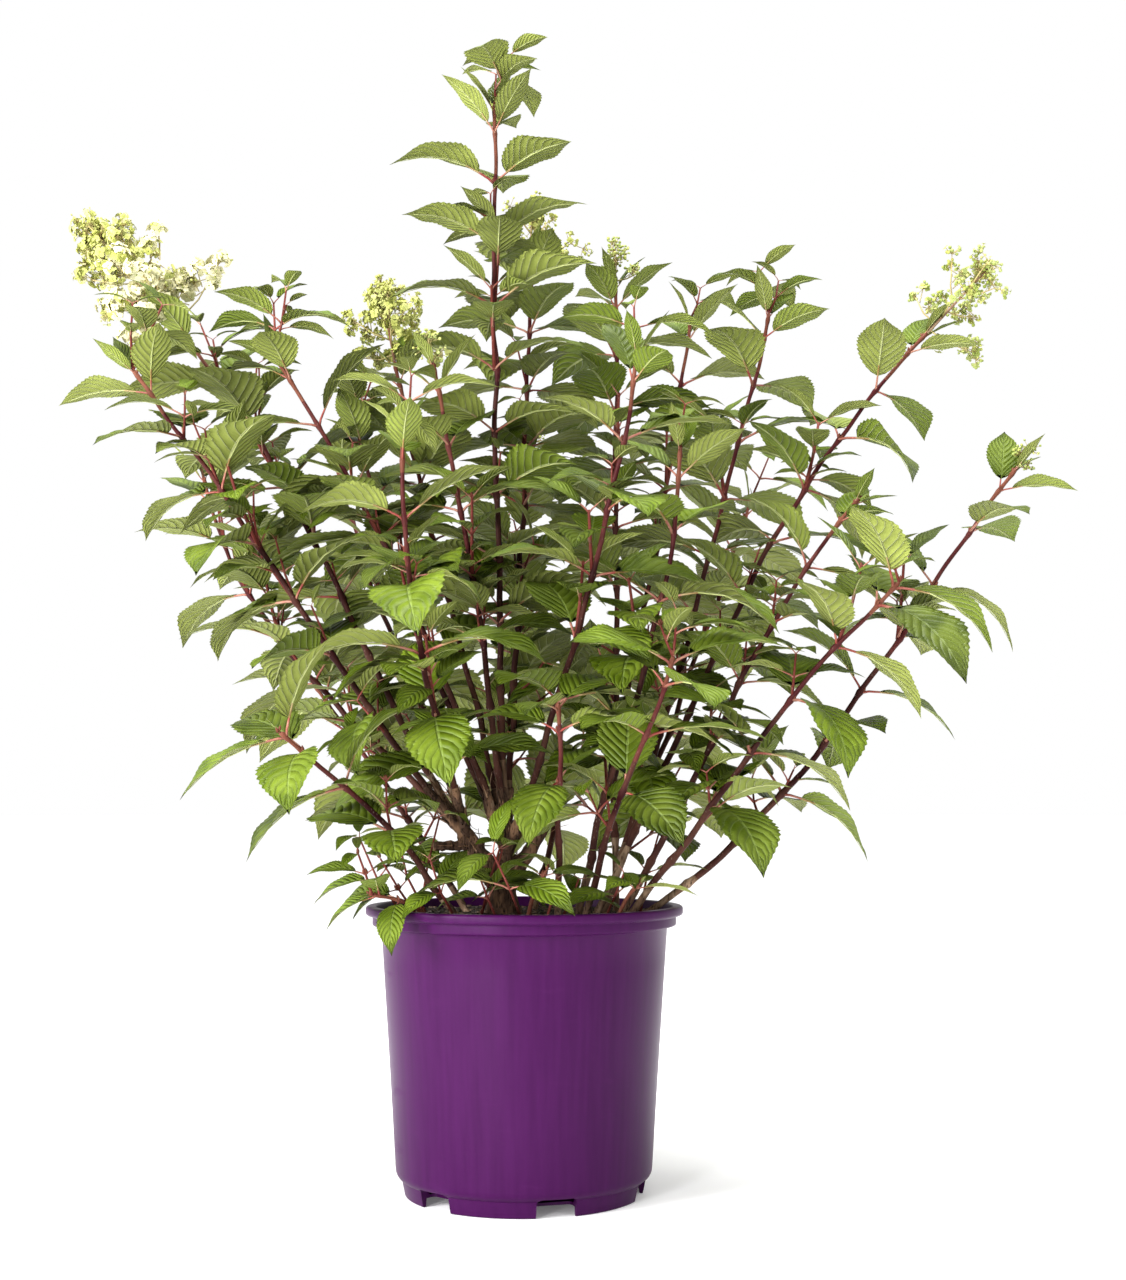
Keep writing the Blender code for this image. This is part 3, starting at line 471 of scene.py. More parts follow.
def tip_leaves(cane, path):
    """The smallest leaves, still upright round a growing tip."""
    rng = random.Random(cane.name + "_tip")
    way = (path[-1] - path[-2]).normalized()
    start = math.radians(cane.spin + TIP_TURN)
    turns = [start + math.tau * index / TIP_LEAVES for index in range(TIP_LEAVES)]
    return [leaf_at(path[-1], way, turn, 0, rng.uniform(*TIP_SCALES), rng) for turn in turns]


# Room for the leaves: the size of a cell of space, where on a leaf it is tested, the
# share of taken cells that a leaf may meet, and its least distance from the pot
CELL = 0.0075
LEAF_TEST_SHARES = np.linspace(0.45, 1.0, 8)
LEAF_TEST_SIDES = np.linspace(-0.85, 0.85, 5)
MOST_HITS = 0.10
POT_CLEARANCE = 0.003

# What a leaf without room tries: shares of its size, and turns in degrees
FIT_SHARES = (1.0, 0.85, 0.7)
FIT_TURNS = (0, 20, -20, 40, -40)


class Room:
    """The small cells of space that leaves and limbs have taken."""

    def __init__(self):
        self.cells = set()

    def keys(self, points):
        return set(map(tuple, np.floor(points / CELL).astype(int)))

    def mark(self, points):
        self.cells |= self.keys(points)

    def crowded(self, points):
        keys = self.keys(points)
        return len(keys & self.cells) > MOST_HITS * len(keys)


def clear_of_pot(points):
    """Whether points stay off the pot and the soil."""
    from_axis = np.hypot(points[:, 0], points[:, 1])
    floor = np.where(from_axis < LIP_INNER_RADIUS - POT_CLEARANCE, SOIL_TOP, POT_HIGH.z)
    over_pot = from_axis < POT_HIGH.x + POT_CLEARANCE
    return not (over_pot & (points[:, 2] < floor + POT_CLEARANCE)).any()


def shortened(leaf, share):
    """The leaf at a share of its size."""
    return leaf._replace(length=leaf.length * share, width=leaf.width * share)


def turned_about(leaf, way, angle):
    """The leaf moved round its stem, whose direction is way."""
    turn = Matrix.Rotation(math.radians(angle), 3, way)
    along = turn @ leaf.along
    return leaf._replace(along=along, up=square_to(turn @ leaf.up + UP, along))


def fitted(leaf, way, leaf_room, limb_room):
    """The leaf, or a turned or shorter one, that has room; none where none has."""
    for share in FIT_SHARES:
        for angle in FIT_TURNS:
            trial = shortened(turned_about(leaf, way, angle) if angle else leaf, share)
            points = test_points(trial)
            if clear_of_pot(points) and not leaf_room.crowded(points):
                if not limb_room.crowded(points[len(LEAF_TEST_SIDES):]):
                    leaf_room.mark(points)
                    return trial
    return None


# Thin blades: one form for each kind, bent to every leaf, sepal and bark strip
SPINE_STEPS = 16
TOOTH_LEAN = 0.35
RIPPLE_SHIFT = 1.7
BladeForm = namedtuple("BladeForm", "t u sheet tooth faces upper corners")
BladeShape = namedtuple("BladeShape", "start outline tooth curl wave waves")


def blade_form(rows, columns, steps):
    """Vertices and faces of a closed blade of two sheets that meet at the margin."""
    marks = []

    def mark(t, u, sheet=0, tooth=0):
        marks.append((t, u, sheet, tooth))
        return len(marks) - 1

    count = rows * steps
    chains = {}
    for side in (-1, 1):
        chains[side] = []
        for k in range(count + 1):
            tooth = k % 2 if steps > 1 else 0
            chains[side].append(mark((k + TOOTH_LEAN * tooth) / count, side, 0, tooth))
    inner = np.linspace(-1, 1, columns + 1)[1:-1]
    ends = {row: [mark(row / rows, u) for u in inner] for row in (0, rows)}
    faces = []
    upper = []
    for sheet in (1, -1):
        grid = [
            ends.get(row) or [mark(row / rows, u, sheet) for u in inner]
            for row in range(rows + 1)
        ]
        for row in range(rows):
            span = slice(row * steps, row * steps + steps + 1)
            for face in row_faces(grid[row], grid[row + 1], chains[-1][span], chains[1][span]):
                faces.append(face if sheet > 0 else face[:1] + face[:0:-1])
                upper.append(sheet > 0)
    t, u, sheets, teeth = np.array(marks, float).T
    corners = np.array([(0.5 + u[i] / 2, t[i]) for face in faces for i in face])
    return BladeForm(t, u, sheets, teeth, faces, np.array(upper), corners)


def row_faces(low, high, left, right):
    """The faces between two rows of a sheet, fanned out to the places on its margins."""
    steps = len(left) - 1
    half = steps // 2
    for index in range(steps):
        if index == half:
            yield [low[0], high[0], left[half + 1], left[half]]
            yield [low[-1], right[half], right[half + 1], high[-1]]
        else:
            row = low if index < half else high
            yield [row[0], left[index + 1], left[index]]
            yield [row[-1], right[index], right[index + 1]]
    for index in range(len(low) - 1):
        yield [low[index], low[index + 1], high[index + 1], high[index]]


def spine(leaf, shares):
    """Places along a leaf's arched middle, and the direction of its upper side there."""
    fine = np.linspace(0, 1, SPINE_STEPS + 1)
    along = np.array(leaf.along)
    up = np.array(leaf.up)
    angles = leaf.droop * ((fine[1:] + fine[:-1]) / 2) ** DROOP_POWER
    steps = np.cos(angles)[:, None] * along - np.sin(angles)[:, None] * up
    line = np.vstack([np.zeros(3), np.cumsum(steps, axis=0)]) * leaf.length / SPINE_STEPS
    places = np.stack([np.interp(shares, fine, line[:, k]) for k in range(3)], axis=1)
    turn = leaf.droop * np.asarray(shares) ** DROOP_POWER
    ways = np.cos(turn)[:, None] * along - np.sin(turn)[:, None] * up
    side = np.cross(along, up)
    return places + np.array(leaf.root), np.cross(side, ways), side


def bent(form, leaf, shape, phase):
    """The places of a form's vertices on one leaf."""
    shares = shape.start + (1 - shape.start) * form.t
    places, normals, side = spine(leaf, shares)
    half = leaf.width / 2 * shape.outline(form.t) * (1 + shape.tooth * form.tooth)
    reach = form.u * half
    rise = np.abs(reach) * math.tan(leaf.fold) * (1 - shape.curl * np.abs(form.u))
    ripple = np.sin(phase + math.tau * shape.waves * form.t + RIPPLE_SHIFT * form.u)
    wave = shape.wave * leaf.width * ripple * form.u**2 * np.sin(math.pi * form.t)
    height = rise + wave + form.sheet * leaf.thickness / 2
    return places + side * reach[:, None] + normals * height[:, None]


def test_points(leaf):
    """Places on a leaf that are tested for room."""
    places, normals, side = spine(leaf, LEAF_TEST_SHARES)
    half = leaf.width / 2 * leaf_outline((LEAF_TEST_SHARES - PETIOLE) / (1 - PETIOLE))
    points = [
        places + side * (half * across)[:, None]
        + normals * (np.abs(half * across) * math.tan(leaf.fold))[:, None]
        for across in LEAF_TEST_SIDES
    ]
    return np.stack(points, axis=1).reshape(-1, 3)


def bulge(t, ends, skew, power):
    """Half width along a blade: a share at its ends, 1 at its broadest place.

    A skew above 1 moves that place outward, and a power below 1 makes the bulge fuller.
    """
    return ends + (1 - ends) * np.sin(math.pi * np.clip(t, 0, 1) ** skew) ** power


def leaf_outline(t):
    """Half width along a hydrangea leaf: round at its base, drawn out at its tip."""
    return bulge(t, 0.012, 0.80, 0.8 + 0.5 * t)


def sepal_outline(t):
    """Half width along a sepal: narrow at its foot, broad and round beyond."""
    return bulge(t, 0.06, 1.2, 0.62)


def strip_outline(t):
    """Half width along a strip of peeling bark, ragged and narrowing."""
    return (1 - 0.72 * t**2) * (0.85 + 0.15 * np.sin(t * 9.0))


PETIOLE = 0.17
LEAF_FORM = blade_form(9, 4, 4)
LEAF_SHAPE = BladeShape(PETIOLE, leaf_outline, 0.085, 0.42, 0.028, 2.2)
SEPAL_FORM = blade_form(3, 2, 1)
SEPAL_SHAPE = BladeShape(0.0, sepal_outline, 0.0, 0.2, 0.05, 1.0)
STRIP_FORM = blade_form(6, 2, 1)
STRIP_SHAPE = BladeShape(0.0, strip_outline, 0.0, 0.3, 0.12, 1.5)


# Joined meshes
def across_path(points):
    """Two unit vectors across a path at each point, which twist as little as can be."""
    ways = np.gradient(points, axis=0)
    ways /= np.linalg.norm(ways, axis=1)[:, None]
    start = np.array((0.0, -1.0, 0.0)) if abs(ways[0][1]) < 0.9 else np.array((1.0, 0.0, 0.0))
    firsts = []
    for way in ways:
        start = start - way * np.dot(start, way)
        start /= np.linalg.norm(start)
        firsts.append(start)
    firsts = np.array(firsts)
    return firsts, np.cross(ways, firsts)


class Joined:
    """Many small shapes of one kind, gathered into one mesh."""

    def __init__(self, name, materials):
        self.name = name
        self.materials = materials
        self.places = []
        self.faces = []
        self.slots = []
        self.sides = []
        self.corners = []
        self.count = 0

    def add(self, places, faces, slots, corners, upper=False):
        """Add one shape; slots gives each face's material and corners its UV places.

        Upper marks the faces of a blade's upper sheet, which end at a sharp margin.
        """
        start = self.count
        self.places.append(np.asarray(places, float))
        self.faces.extend([tuple(start + i for i in face) for face in faces])
        self.slots.append(np.broadcast_to(np.asarray(slots), (len(faces),)))
        self.sides.append(np.broadcast_to(np.asarray(upper), (len(faces),)))
        self.corners.append(np.asarray(corners, float))
        self.count += len(places)

    def add_tube(self, points, radii, sides, slots=0, relief=None):
        """Add a round tube with closed ends. Relief takes ring places and moves them."""
        points = np.array([tuple(point) for point in points], float)
        firsts, seconds = across_path(points)
        angles = math.tau * np.arange(sides) / sides
        rings = (
            firsts[:, None, :] * np.cos(angles)[None, :, None]
            + seconds[:, None, :] * np.sin(angles)[None, :, None]
        )
        radii = np.asarray(radii, float)
        places = points[:, None, :] + rings * radii[:, None, None]
        if relief is not None:
            places = relief(places, rings, radii)
        steps = np.linalg.norm(np.diff(points, axis=0), axis=1)
        heights = np.concatenate([[0.0], np.cumsum(steps)])
        faces = []
        corners = []
        ring_slots = []
        slots = np.broadcast_to(np.asarray(slots), (len(points) - 1,))
        for row in range(len(points) - 1):
            for side in range(sides):
                ahead = (side + 1) % sides
                low = row * sides
                faces.append((low + side, low + ahead, low + sides + ahead, low + sides + side))
                left, right = side / sides, (side + 1) / sides
                bottom, top = heights[row], heights[row + 1]
                corners += [(left, bottom), (right, bottom), (right, top), (left, top)]
                ring_slots.append(slots[row])
        last = (len(points) - 1) * sides
        faces.append(tuple(range(sides))[::-1])
        faces.append(tuple(last + side for side in range(sides)))
        ring_slots += [slots[0], slots[-1]]
        corners += [(0.5, 0.0)] * sides + [(0.5, heights[-1])] * sides
        self.add(places.reshape(-1, 3), faces, ring_slots, corners)

    def sharpen(self, mesh):
        """Mark as sharp each edge that has an upper face on one side of it only."""
        edges = np.empty(len(mesh.loops), np.int32)
        mesh.loops.foreach_get("edge_index", edges)
        totals = np.empty(len(mesh.polygons), np.int32)
        mesh.polygons.foreach_get("loop_total", totals)
        upper = np.repeat(np.concatenate(self.sides), totals)
        counts = np.bincount(edges, weights=upper, minlength=len(mesh.edges))
        mesh.edges.foreach_set("use_edge_sharp", counts == 1)

    def build(self, body, slot, *nodes):
        """Make the object, hang it on its body and hide the parts that it stands for; its slot is not
        used.
        """
        mesh = bpy.data.meshes.new(self.name)
        mesh.from_pydata(np.concatenate(self.places), [], self.faces)
        for material in self.materials:
            mesh.materials.append(material)
        mesh.polygons.foreach_set("material_index", np.concatenate(self.slots).astype(np.int32))
        layer = mesh.uv_layers.new(name="along")
        layer.data.foreach_set("uv", np.concatenate(self.corners).astype(np.float32).ravel())
        mesh.shade_smooth()
        self.sharpen(mesh)
        obj = bpy.data.objects.new(self.name, mesh)
        bpy.context.scene.collection.objects.link(obj)
        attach(obj, body)
        if nodes:
            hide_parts(*nodes)
        return obj


# Shader maths
class Wire:
    """A number or colour in a material's nodes that Python can reckon with."""

    def __init__(self, graph, socket):
        self.graph = graph
        self.socket = socket

    def __add__(self, other):
        return self.graph.math("ADD", self, other)

    __radd__ = __add__

    def __sub__(self, other):
        return self.graph.math("SUBTRACT", self, other)

    def __rsub__(self, other):
        return self.graph.math("SUBTRACT", other, self)

    def __mul__(self, other):
        return self.graph.math("MULTIPLY", self, other)

    __rmul__ = __mul__



    def __abs__(self):
        return self.graph.math("ABSOLUTE", self)

    def fraction(self):
        return self.graph.math("FRACT", self)

    def between(self, low, high):
        """0 below low, 1 above high, and smooth in between."""
        node = self.graph.node(
            "ShaderNodeMapRange",
            {"interpolation_type": "SMOOTHSTEP"},
            {"Value": self, "From Min": low, "From Max": high},
        )
        return Wire(self.graph, node.outputs["Result"])


class Graph:
    """The nodes of one material."""

    def __init__(self, name):
        self.material = bpy.data.materials.new(name)
        self.material.use_nodes = True
        self.tree = self.material.node_tree
        self.shader = self.tree.nodes["Principled BSDF"]

    def node(self, kind, settings=None, sockets=None):
        """A node with its settings made first, and then its sockets set or linked."""
        node = self.tree.nodes.new(kind)
        for key, value in (settings or {}).items():
            setattr(node, key, value)
        for key, value in (sockets or {}).items():
            self.feed(node.inputs[key], value)
        return node

    def feed(self, socket, value):
        if isinstance(value, Wire):
            self.tree.links.new(value.socket, socket)
        else:
            socket.default_value = value

    def math(self, operation, first, second=0.0):
        node = self.node("ShaderNodeMath", {"operation": operation}, {0: first, 1: second})
        return Wire(self, node.outputs[0])

    def mix(self, factor, first, second):
        """A colour between two colours."""
        node = self.node("ShaderNodeMix", {"data_type": "RGBA"}, {0: factor, 6: first, 7: second})
        return Wire(self, node.outputs[2])

    def place(self, scale=(1.0, 1.0, 1.0)):
        """Object coordinates, stretched."""
        place = self.node("ShaderNodeTexCoord")
        node = self.node(
            "ShaderNodeMapping", None, {"Vector": Wire(self, place.outputs["Object"]), "Scale": scale}
        )
        return Wire(self, node.outputs["Vector"])

    def noise(self, scale, detail=2.0, stretch=(1.0, 1.0, 1.0)):
        """Cloudy noise through the piece."""
        sockets = {"Vector": self.place(stretch), "Scale": scale, "Detail": detail}
        return Wire(self, self.node("ShaderNodeTexNoise", None, sockets).outputs[0])

    def cells(self, place, scale, feature="F1"):
        """Distance to the middle of the nearest cell, or to its edge."""
        sockets = {"Vector": place, "Scale": scale}
        node = self.node("ShaderNodeTexVoronoi", {"feature": feature}, sockets)
        return Wire(self, node.outputs["Distance"])

    def blade_place(self):
        """Place on a blade: distance from its midrib, place along it, and both as a vector."""
        layer = self.node("ShaderNodeUVMap", {"uv_map": "along"})
        split = self.node("ShaderNodeSeparateXYZ", None, {0: Wire(self, layer.outputs[0])})
        across = Wire(self, split.outputs[0])
        return abs(across - 0.5) * 2, Wire(self, split.outputs[1]), Wire(self, layer.outputs[0])



    def bump(self, height, distance, strength=1.0):
        node = self.node(
            "ShaderNodeBump", None, {"Strength": strength, "Distance": distance, "Height": height}
        )
        return Wire(self, node.outputs[0])

    def finish(self, colour, roughness, normal=None, gloss=0.12):
        """Feed the shader, and return the material."""
        sockets = {"Base Color": colour, "Roughness": roughness}
        if normal is not None:
            sockets["Normal"] = normal
        self.shader.inputs["Specular IOR Level"].default_value = gloss
        for key, value in sockets.items():
            self.feed(self.shader.inputs[key], value)
        return self.material


# Colours that shades are tinted towards
PLASTIC_STREAK = (0.40, 0.08, 0.45)
PLASTIC_SCUFF = (0.48, 0.12, 0.52)
SOIL_FIBRE = (0.30, 0.20, 0.12)
CRUMB_DUST = (0.60, 0.50, 0.40)
CANE_BLUSH = (0.80, 0.40, 0.25)
CANE_SPECK = (0.75, 0.62, 0.50)
UPPER_CLOUD = (0.50, 0.60, 0.10)
UPPER_VEIN = (0.45, 0.60, 0.20)
UPPER_MIDRIB = (0.50, 0.62, 0.22)
UNDER_NET = (0.75, 0.80, 0.50)
UNDER_VEIN = (0.80, 0.84, 0.52)
UNDER_MIDRIB = (0.84, 0.84, 0.55)
SOFT_CLOUD = (0.90, 0.90, 0.60)


def tinted(colour, share, towards=(0.0, 0.0, 0.0)):
    """A plain colour moved a share of the way towards another."""
    mixed = [c + (t - c) * share for c, t in zip(colour[:3], towards)]
    return (*mixed, 1.0)


def plastic_material(colour):
    """Moulded plastic with faint upright streaks, a fine grain and pale scuffs."""
    g = Graph("pot_plastic")
    streaks = g.noise(3.0, detail=3.0, stretch=(60.0, 60.0, 2.5))
    grain = g.noise(900.0)
    scuffs = g.noise(2.0, detail=4.0, stretch=(9.0, 9.0, 30.0)).between(0.60, 0.78)
    shade = g.mix(streaks, tinted(colour, 0.15), tinted(colour, 0.03, PLASTIC_STREAK))
    shade = g.mix(scuffs * 0.12, shade, tinted(colour, 0.12, PLASTIC_SCUFF))
    roughness = 0.36 + streaks * 0.04 + scuffs * 0.10
    normal = g.bump(grain + streaks * 0.6, distance=0.00004, strength=0.6)
    return g.finish(shade, roughness, normal, gloss=0.07)


def soil_material(colour):
    """Potting mix: lumps, dust and pale fibres."""
    g = Graph("potting_mix")
    lumps = g.cells(g.place(), 240.0)
    dust = g.noise(520.0, detail=4.0)
    fibre = g.noise(160.0, detail=3.0, stretch=(1.0, 3.0, 1.0)).between(0.58, 0.72)
    shade = g.mix(dust.between(0.35, 0.7), tinted(colour, 0.55), colour)
    shade = g.mix(fibre * 0.6, shade, tinted(colour, 0.30, SOIL_FIBRE))
    return g.finish(shade, 0.94, g.bump(lumps + dust * 0.5, distance=0.0012))


def crumb_material(name, colour):
    """Bark crumbs: a fibrous mix of a dark and a dusty shade."""
    g = Graph(name)
    fibre = g.noise(420.0, detail=4.0, stretch=(1.0, 1.0, 2.5))
    dusty = tinted(colour, 0.12, CRUMB_DUST)
    shade = g.mix(fibre.between(0.35, 0.66), tinted(colour, 0.5), dusty)
    return g.finish(shade, 0.9, g.bump(fibre, distance=0.0006))


def bark_material(name, colour, light):
    """Old bark: long fibres, dark cracks and paler peeled streaks."""
    g = Graph(name)
    fibre = g.noise(620.0, detail=5.0, stretch=(1.0, 1.0, 0.12))
    patches = g.noise(85.0, detail=3.0, stretch=(1.0, 1.0, 0.35))
    cracks = fibre.between(0.30, 0.48)
    shade = g.mix(patches.between(0.48, 0.66), colour, light)
    shade = g.mix(cracks, tinted(colour, 0.72), shade)
    return g.finish(shade, 0.88, g.bump(fibre + cracks, distance=0.0008))


def cane_material(name, colour, roughness, specks):
    """Smooth young bark with pale specks and fine lengthwise lines."""
    g = Graph(name)
    lines = g.noise(900.0, detail=3.0, stretch=(1.0, 1.0, 0.18))
    blush = g.noise(26.0)
    dots = 1 - g.cells(g.place((1.0, 1.0, 0.45)), 330.0).between(0.10, 0.20)
    shade = g.mix(blush.between(0.3, 0.7), tinted(colour, 0.30), tinted(colour, 0.04, CANE_BLUSH))
    shade = g.mix(lines.between(0.45, 0.7) * 0.35, shade, tinted(colour, 0.5))
    shade = g.mix(dots * specks, shade, tinted(colour, 0.5, CANE_SPECK))
    normal = g.bump(lines + dots * 0.5, distance=0.0002)
    return g.finish(shade, roughness, normal, gloss=0.06)


VEINS = 9.0


def vein_pattern(g):
    """How near a place is to a side vein or the midrib, and the swell between veins."""
    side, along, flat = g.blade_place()
    order = (along - side * 0.20 - side * side * 0.14) * VEINS
    swell = abs(order.fraction() - 0.5) * 2
    lines = swell.between(0.84, 0.97) * (1 - side.between(0.80, 1.0))
    midrib = 1 - side.between(0.02, 0.07)
    stretched = g.node(
        "ShaderNodeMapping", None, {"Vector": flat, "Scale": (14.0, 30.0, 1.0)}
    )
    net = g.cells(Wire(g, stretched.outputs[0]), 1.0, "DISTANCE_TO_EDGE").between(0.0, 0.12)
    return lines, midrib, swell, net


def upper_material(name, colour):
    """The upper side of a leaf: a soft gloss, sunken veins and a pale midrib."""
    g = Graph(name)
    lines, midrib, swell, net = vein_pattern(g)
    cloud = g.noise(42.0, detail=3.0)
    shade = g.mix(cloud.between(0.3, 0.7), tinted(colour, 0.22), tinted(colour, 0.10, UPPER_CLOUD))
    shade = g.mix(lines * 0.30, shade, tinted(colour, 0.25, UPPER_VEIN))
    shade = g.mix(midrib * 0.40, shade, tinted(colour, 0.3, UPPER_MIDRIB))
    shade = g.mix((1 - net) * 0.07, shade, tinted(colour, 0.5))
    height = (1 - swell * swell) * 0.8 - midrib * 0.5 + net * 0.04
    normal = g.bump(height, distance=0.0020, strength=0.9)
    return g.finish(shade, 0.40 + cloud * 0.14, normal, gloss=0.17)


def under_material(name, colour):
    """The underside of a leaf: pale and dull, with raised light veins."""
    g = Graph(name)
    lines, midrib, swell, net = vein_pattern(g)
    cloud = g.noise(42.0, detail=3.0)
    shade = g.mix(cloud.between(0.3, 0.7), tinted(colour, 0.20), colour)
    shade = g.mix((1 - net) * 0.08, shade, tinted(colour, 0.25, UNDER_NET))
    shade = g.mix(lines * 0.8, shade, tinted(colour, 0.35, UNDER_VEIN))
    shade = g.mix(midrib * 0.7, shade, tinted(colour, 0.35, UNDER_MIDRIB))
    height = lines * 0.9 + midrib + (1 - net) * 0.04 - (1 - swell * swell) * 0.6
    return g.finish(shade, 0.62, g.bump(height, distance=0.0019, strength=0.9))


def soft_material(name, colour, roughness=0.55, spread=0.14):
    """Stalks, buds and sepals: one colour with a faint cloud and a fine grain."""
    g = Graph(name)
    cloud = g.noise(60.0).between(0.3, 0.7)
    shade = g.mix(cloud, tinted(colour, spread), tinted(colour, spread, SOFT_CLOUD))
    return g.finish(shade, roughness, g.bump(g.noise(800.0), distance=0.0001))


def floor_material(colour):
    """A plain pale floor that gives off a little light of its own."""
    g = Graph("studio_floor")
    g.shader.inputs["Emission Color"].default_value = colour
    g.shader.inputs["Emission Strength"].default_value = 0.12
    return g.finish(g.mix(g.noise(1.5), colour, tinted(colour, 0.02)), 0.7)


# Modelling steps
def deselect():
    """Leave edit mode and select nothing."""
    if bpy.context.mode != "OBJECT":
        bpy.ops.object.mode_set(mode="OBJECT")
    bpy.ops.object.select_all(action="DESELECT")


def only(obj):
    """Select one object alone and make it the active one."""
    deselect()
    obj.select_set(True)
    bpy.context.view_layer.objects.active = obj
    return obj


def settle(obj, *materials):
    """Apply an object's modifiers and place, and give it its materials."""
    only(obj)
    for modifier in list(obj.modifiers):
        bpy.ops.object.modifier_apply(modifier=modifier.name)
    bpy.ops.object.transform_apply(location=True, rotation=True, scale=True)
    obj.data.materials.clear()
    for material in materials:
        obj.data.materials.append(material)
    deselect()
    return obj


def placed(obj, slot, *nodes):
    """Hang an object on the root and hide the parts that it stands for; its slot is not used."""
    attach(obj, "root")
    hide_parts(*nodes)
    return obj


def lathe(name, rings, segments):
    """Turn an outline of (radius, height) into a closed form, ring by ring.

    The first and the last ring are gathered to a point on the axis.
    """
    deselect()
    radius, height = rings[0]
    bpy.ops.mesh.primitive_circle_add(vertices=segments, radius=radius, location=(0, 0, height))
    obj = bpy.context.object
    obj.name = name
    obj.data.name = name
    only(obj)
    bpy.ops.object.transform_apply(location=True)
    bpy.ops.object.mode_set(mode="EDIT")
    bpy.ops.mesh.select_all(action="SELECT")
    for next_radius, next_height in rings[1:]:
        rise = (0.0, 0.0, next_height - height)
        bpy.ops.mesh.extrude_region_move(TRANSFORM_OT_translate={"value": rise})
        share = next_radius / radius
        bpy.ops.transform.resize(value=(share, share, 1.0), center_override=(0.0, 0.0, next_height))
        radius, height = next_radius, next_height
    bpy.ops.mesh.edge_face_add()
    bpy.ops.mesh.select_all(action="DESELECT")
    bpy.ops.object.mode_set(mode="OBJECT")
    low = rings[0]
    for vert in obj.data.vertices:
        at_start = abs(vert.co.z - low[1]) < 1e-6 and abs(vert.co.xy.length - low[0]) < 1e-5
        vert.select = at_start
    bpy.ops.object.mode_set(mode="EDIT")
    bpy.ops.mesh.select_mode(type="VERT")
    bpy.ops.mesh.edge_face_add()
    bpy.ops.mesh.select_all(action="SELECT")
    bpy.ops.mesh.normals_make_consistent(inside=False)
    bpy.ops.object.mode_set(mode="OBJECT")
    return obj


def arc(centre, radius, start, end, steps):
    """Points on an arc of an outline, its angles in degrees from outward to upward."""
    angles = [math.radians(start + (end - start) * step / steps) for step in range(steps + 1)]
    return [
        (centre[0] + radius * math.cos(angle), centre[1] + radius * math.sin(angle))
        for angle in angles
    ]


# Pot
POT_SEGMENTS = 128
COLLAR_RADIUS = 0.134
COLLAR_BOTTOM = 0.2310
BODY_TOP_RADIUS = 0.126
BODY_LOW_RADIUS = 0.112
BODY_LOW_HEIGHT = 0.024
FOOT_RADIUS = 0.104
FLOOR_UNDERSIDE = 0.007
FLOOR_THICKNESS = 0.0025
PAD_RADIUS = 0.042
LIP_INNER_RADIUS = 0.131
FOOT_WALL = 0.0035
NOTCH_COUNT = 6
FIRST_NOTCH = -44.0
NOTCH_DEPTH = 0.030
NOTCH_CORNER = 0.004
WALL_HEIGHTS = (0.060, 0.095, 0.130, 0.165, 0.200)
NECK_HEIGHT = 0.0025
LIP_ROUNDNESS = 0.3


def body_radius(height):
    """Radius of the tapering wall at a height."""
    share = (height - BODY_LOW_HEIGHT) / (COLLAR_BOTTOM - NECK_HEIGHT - BODY_LOW_HEIGHT)
    return BODY_LOW_RADIUS + (BODY_TOP_RADIUS - BODY_LOW_RADIUS) * share


def pot_outline(pot):
    """The pot's outline, from the middle of its underside, up outside and down inside."""
    top = pot.height
    lip_bottom = top - pot.lip_height
    round_lip = pot.lip_height * LIP_ROUNDNESS
    foot_inside = FOOT_RADIUS - FOOT_WALL
    low_inside = BODY_LOW_RADIUS - pot.wall
    floor_top = FLOOR_UNDERSIDE + FLOOR_THICKNESS
    outline = [(0.004, 0.0), (PAD_RADIUS - 0.001, 0.0), (PAD_RADIUS, 0.0008)]
    outline += [(PAD_RADIUS + 0.001, FLOOR_UNDERSIDE), (foot_inside - 0.0005, FLOOR_UNDERSIDE)]
    outline += [(foot_inside, 0.0008), (foot_inside + 0.0008, 0.0)]
    outline += arc((FOOT_RADIUS - 0.0010, 0.0010), 0.0010, -90, 0, 3)
    outline += arc((BODY_LOW_RADIUS - 0.0100, BODY_LOW_HEIGHT - 0.0015), 0.0100, -62, 0, 6)
    outline += [(body_radius(height), height) for height in WALL_HEIGHTS]
    outline += [
        (BODY_TOP_RADIUS, COLLAR_BOTTOM - NECK_HEIGHT),
        (BODY_TOP_RADIUS + 0.0012, COLLAR_BOTTOM - 0.0006),
    ]
    outline += arc((COLLAR_RADIUS - 0.0016, COLLAR_BOTTOM + 0.0016), 0.0016, -75, 0, 4)
    outline += [(COLLAR_RADIUS, lip_bottom - 0.0012), (COLLAR_RADIUS + 0.0008, lip_bottom - 0.0002)]
    outline += arc((pot.rim_radius - round_lip, lip_bottom + round_lip), round_lip, -90, 0, 4)
    outline += arc((pot.rim_radius - round_lip, top - round_lip), round_lip, 0, 90, 5)
    outline += arc((LIP_INNER_RADIUS + 0.0014, top - 0.0014), 0.0014, 90, 180, 3)
    outline += [
        (LIP_INNER_RADIUS, COLLAR_BOTTOM + 0.0015),
        (BODY_TOP_RADIUS - pot.wall, COLLAR_BOTTOM - 0.003),
    ]
    outline += [(low_inside, BODY_LOW_HEIGHT), (foot_inside - 0.004, floor_top), (0.004, floor_top)]
    return outline


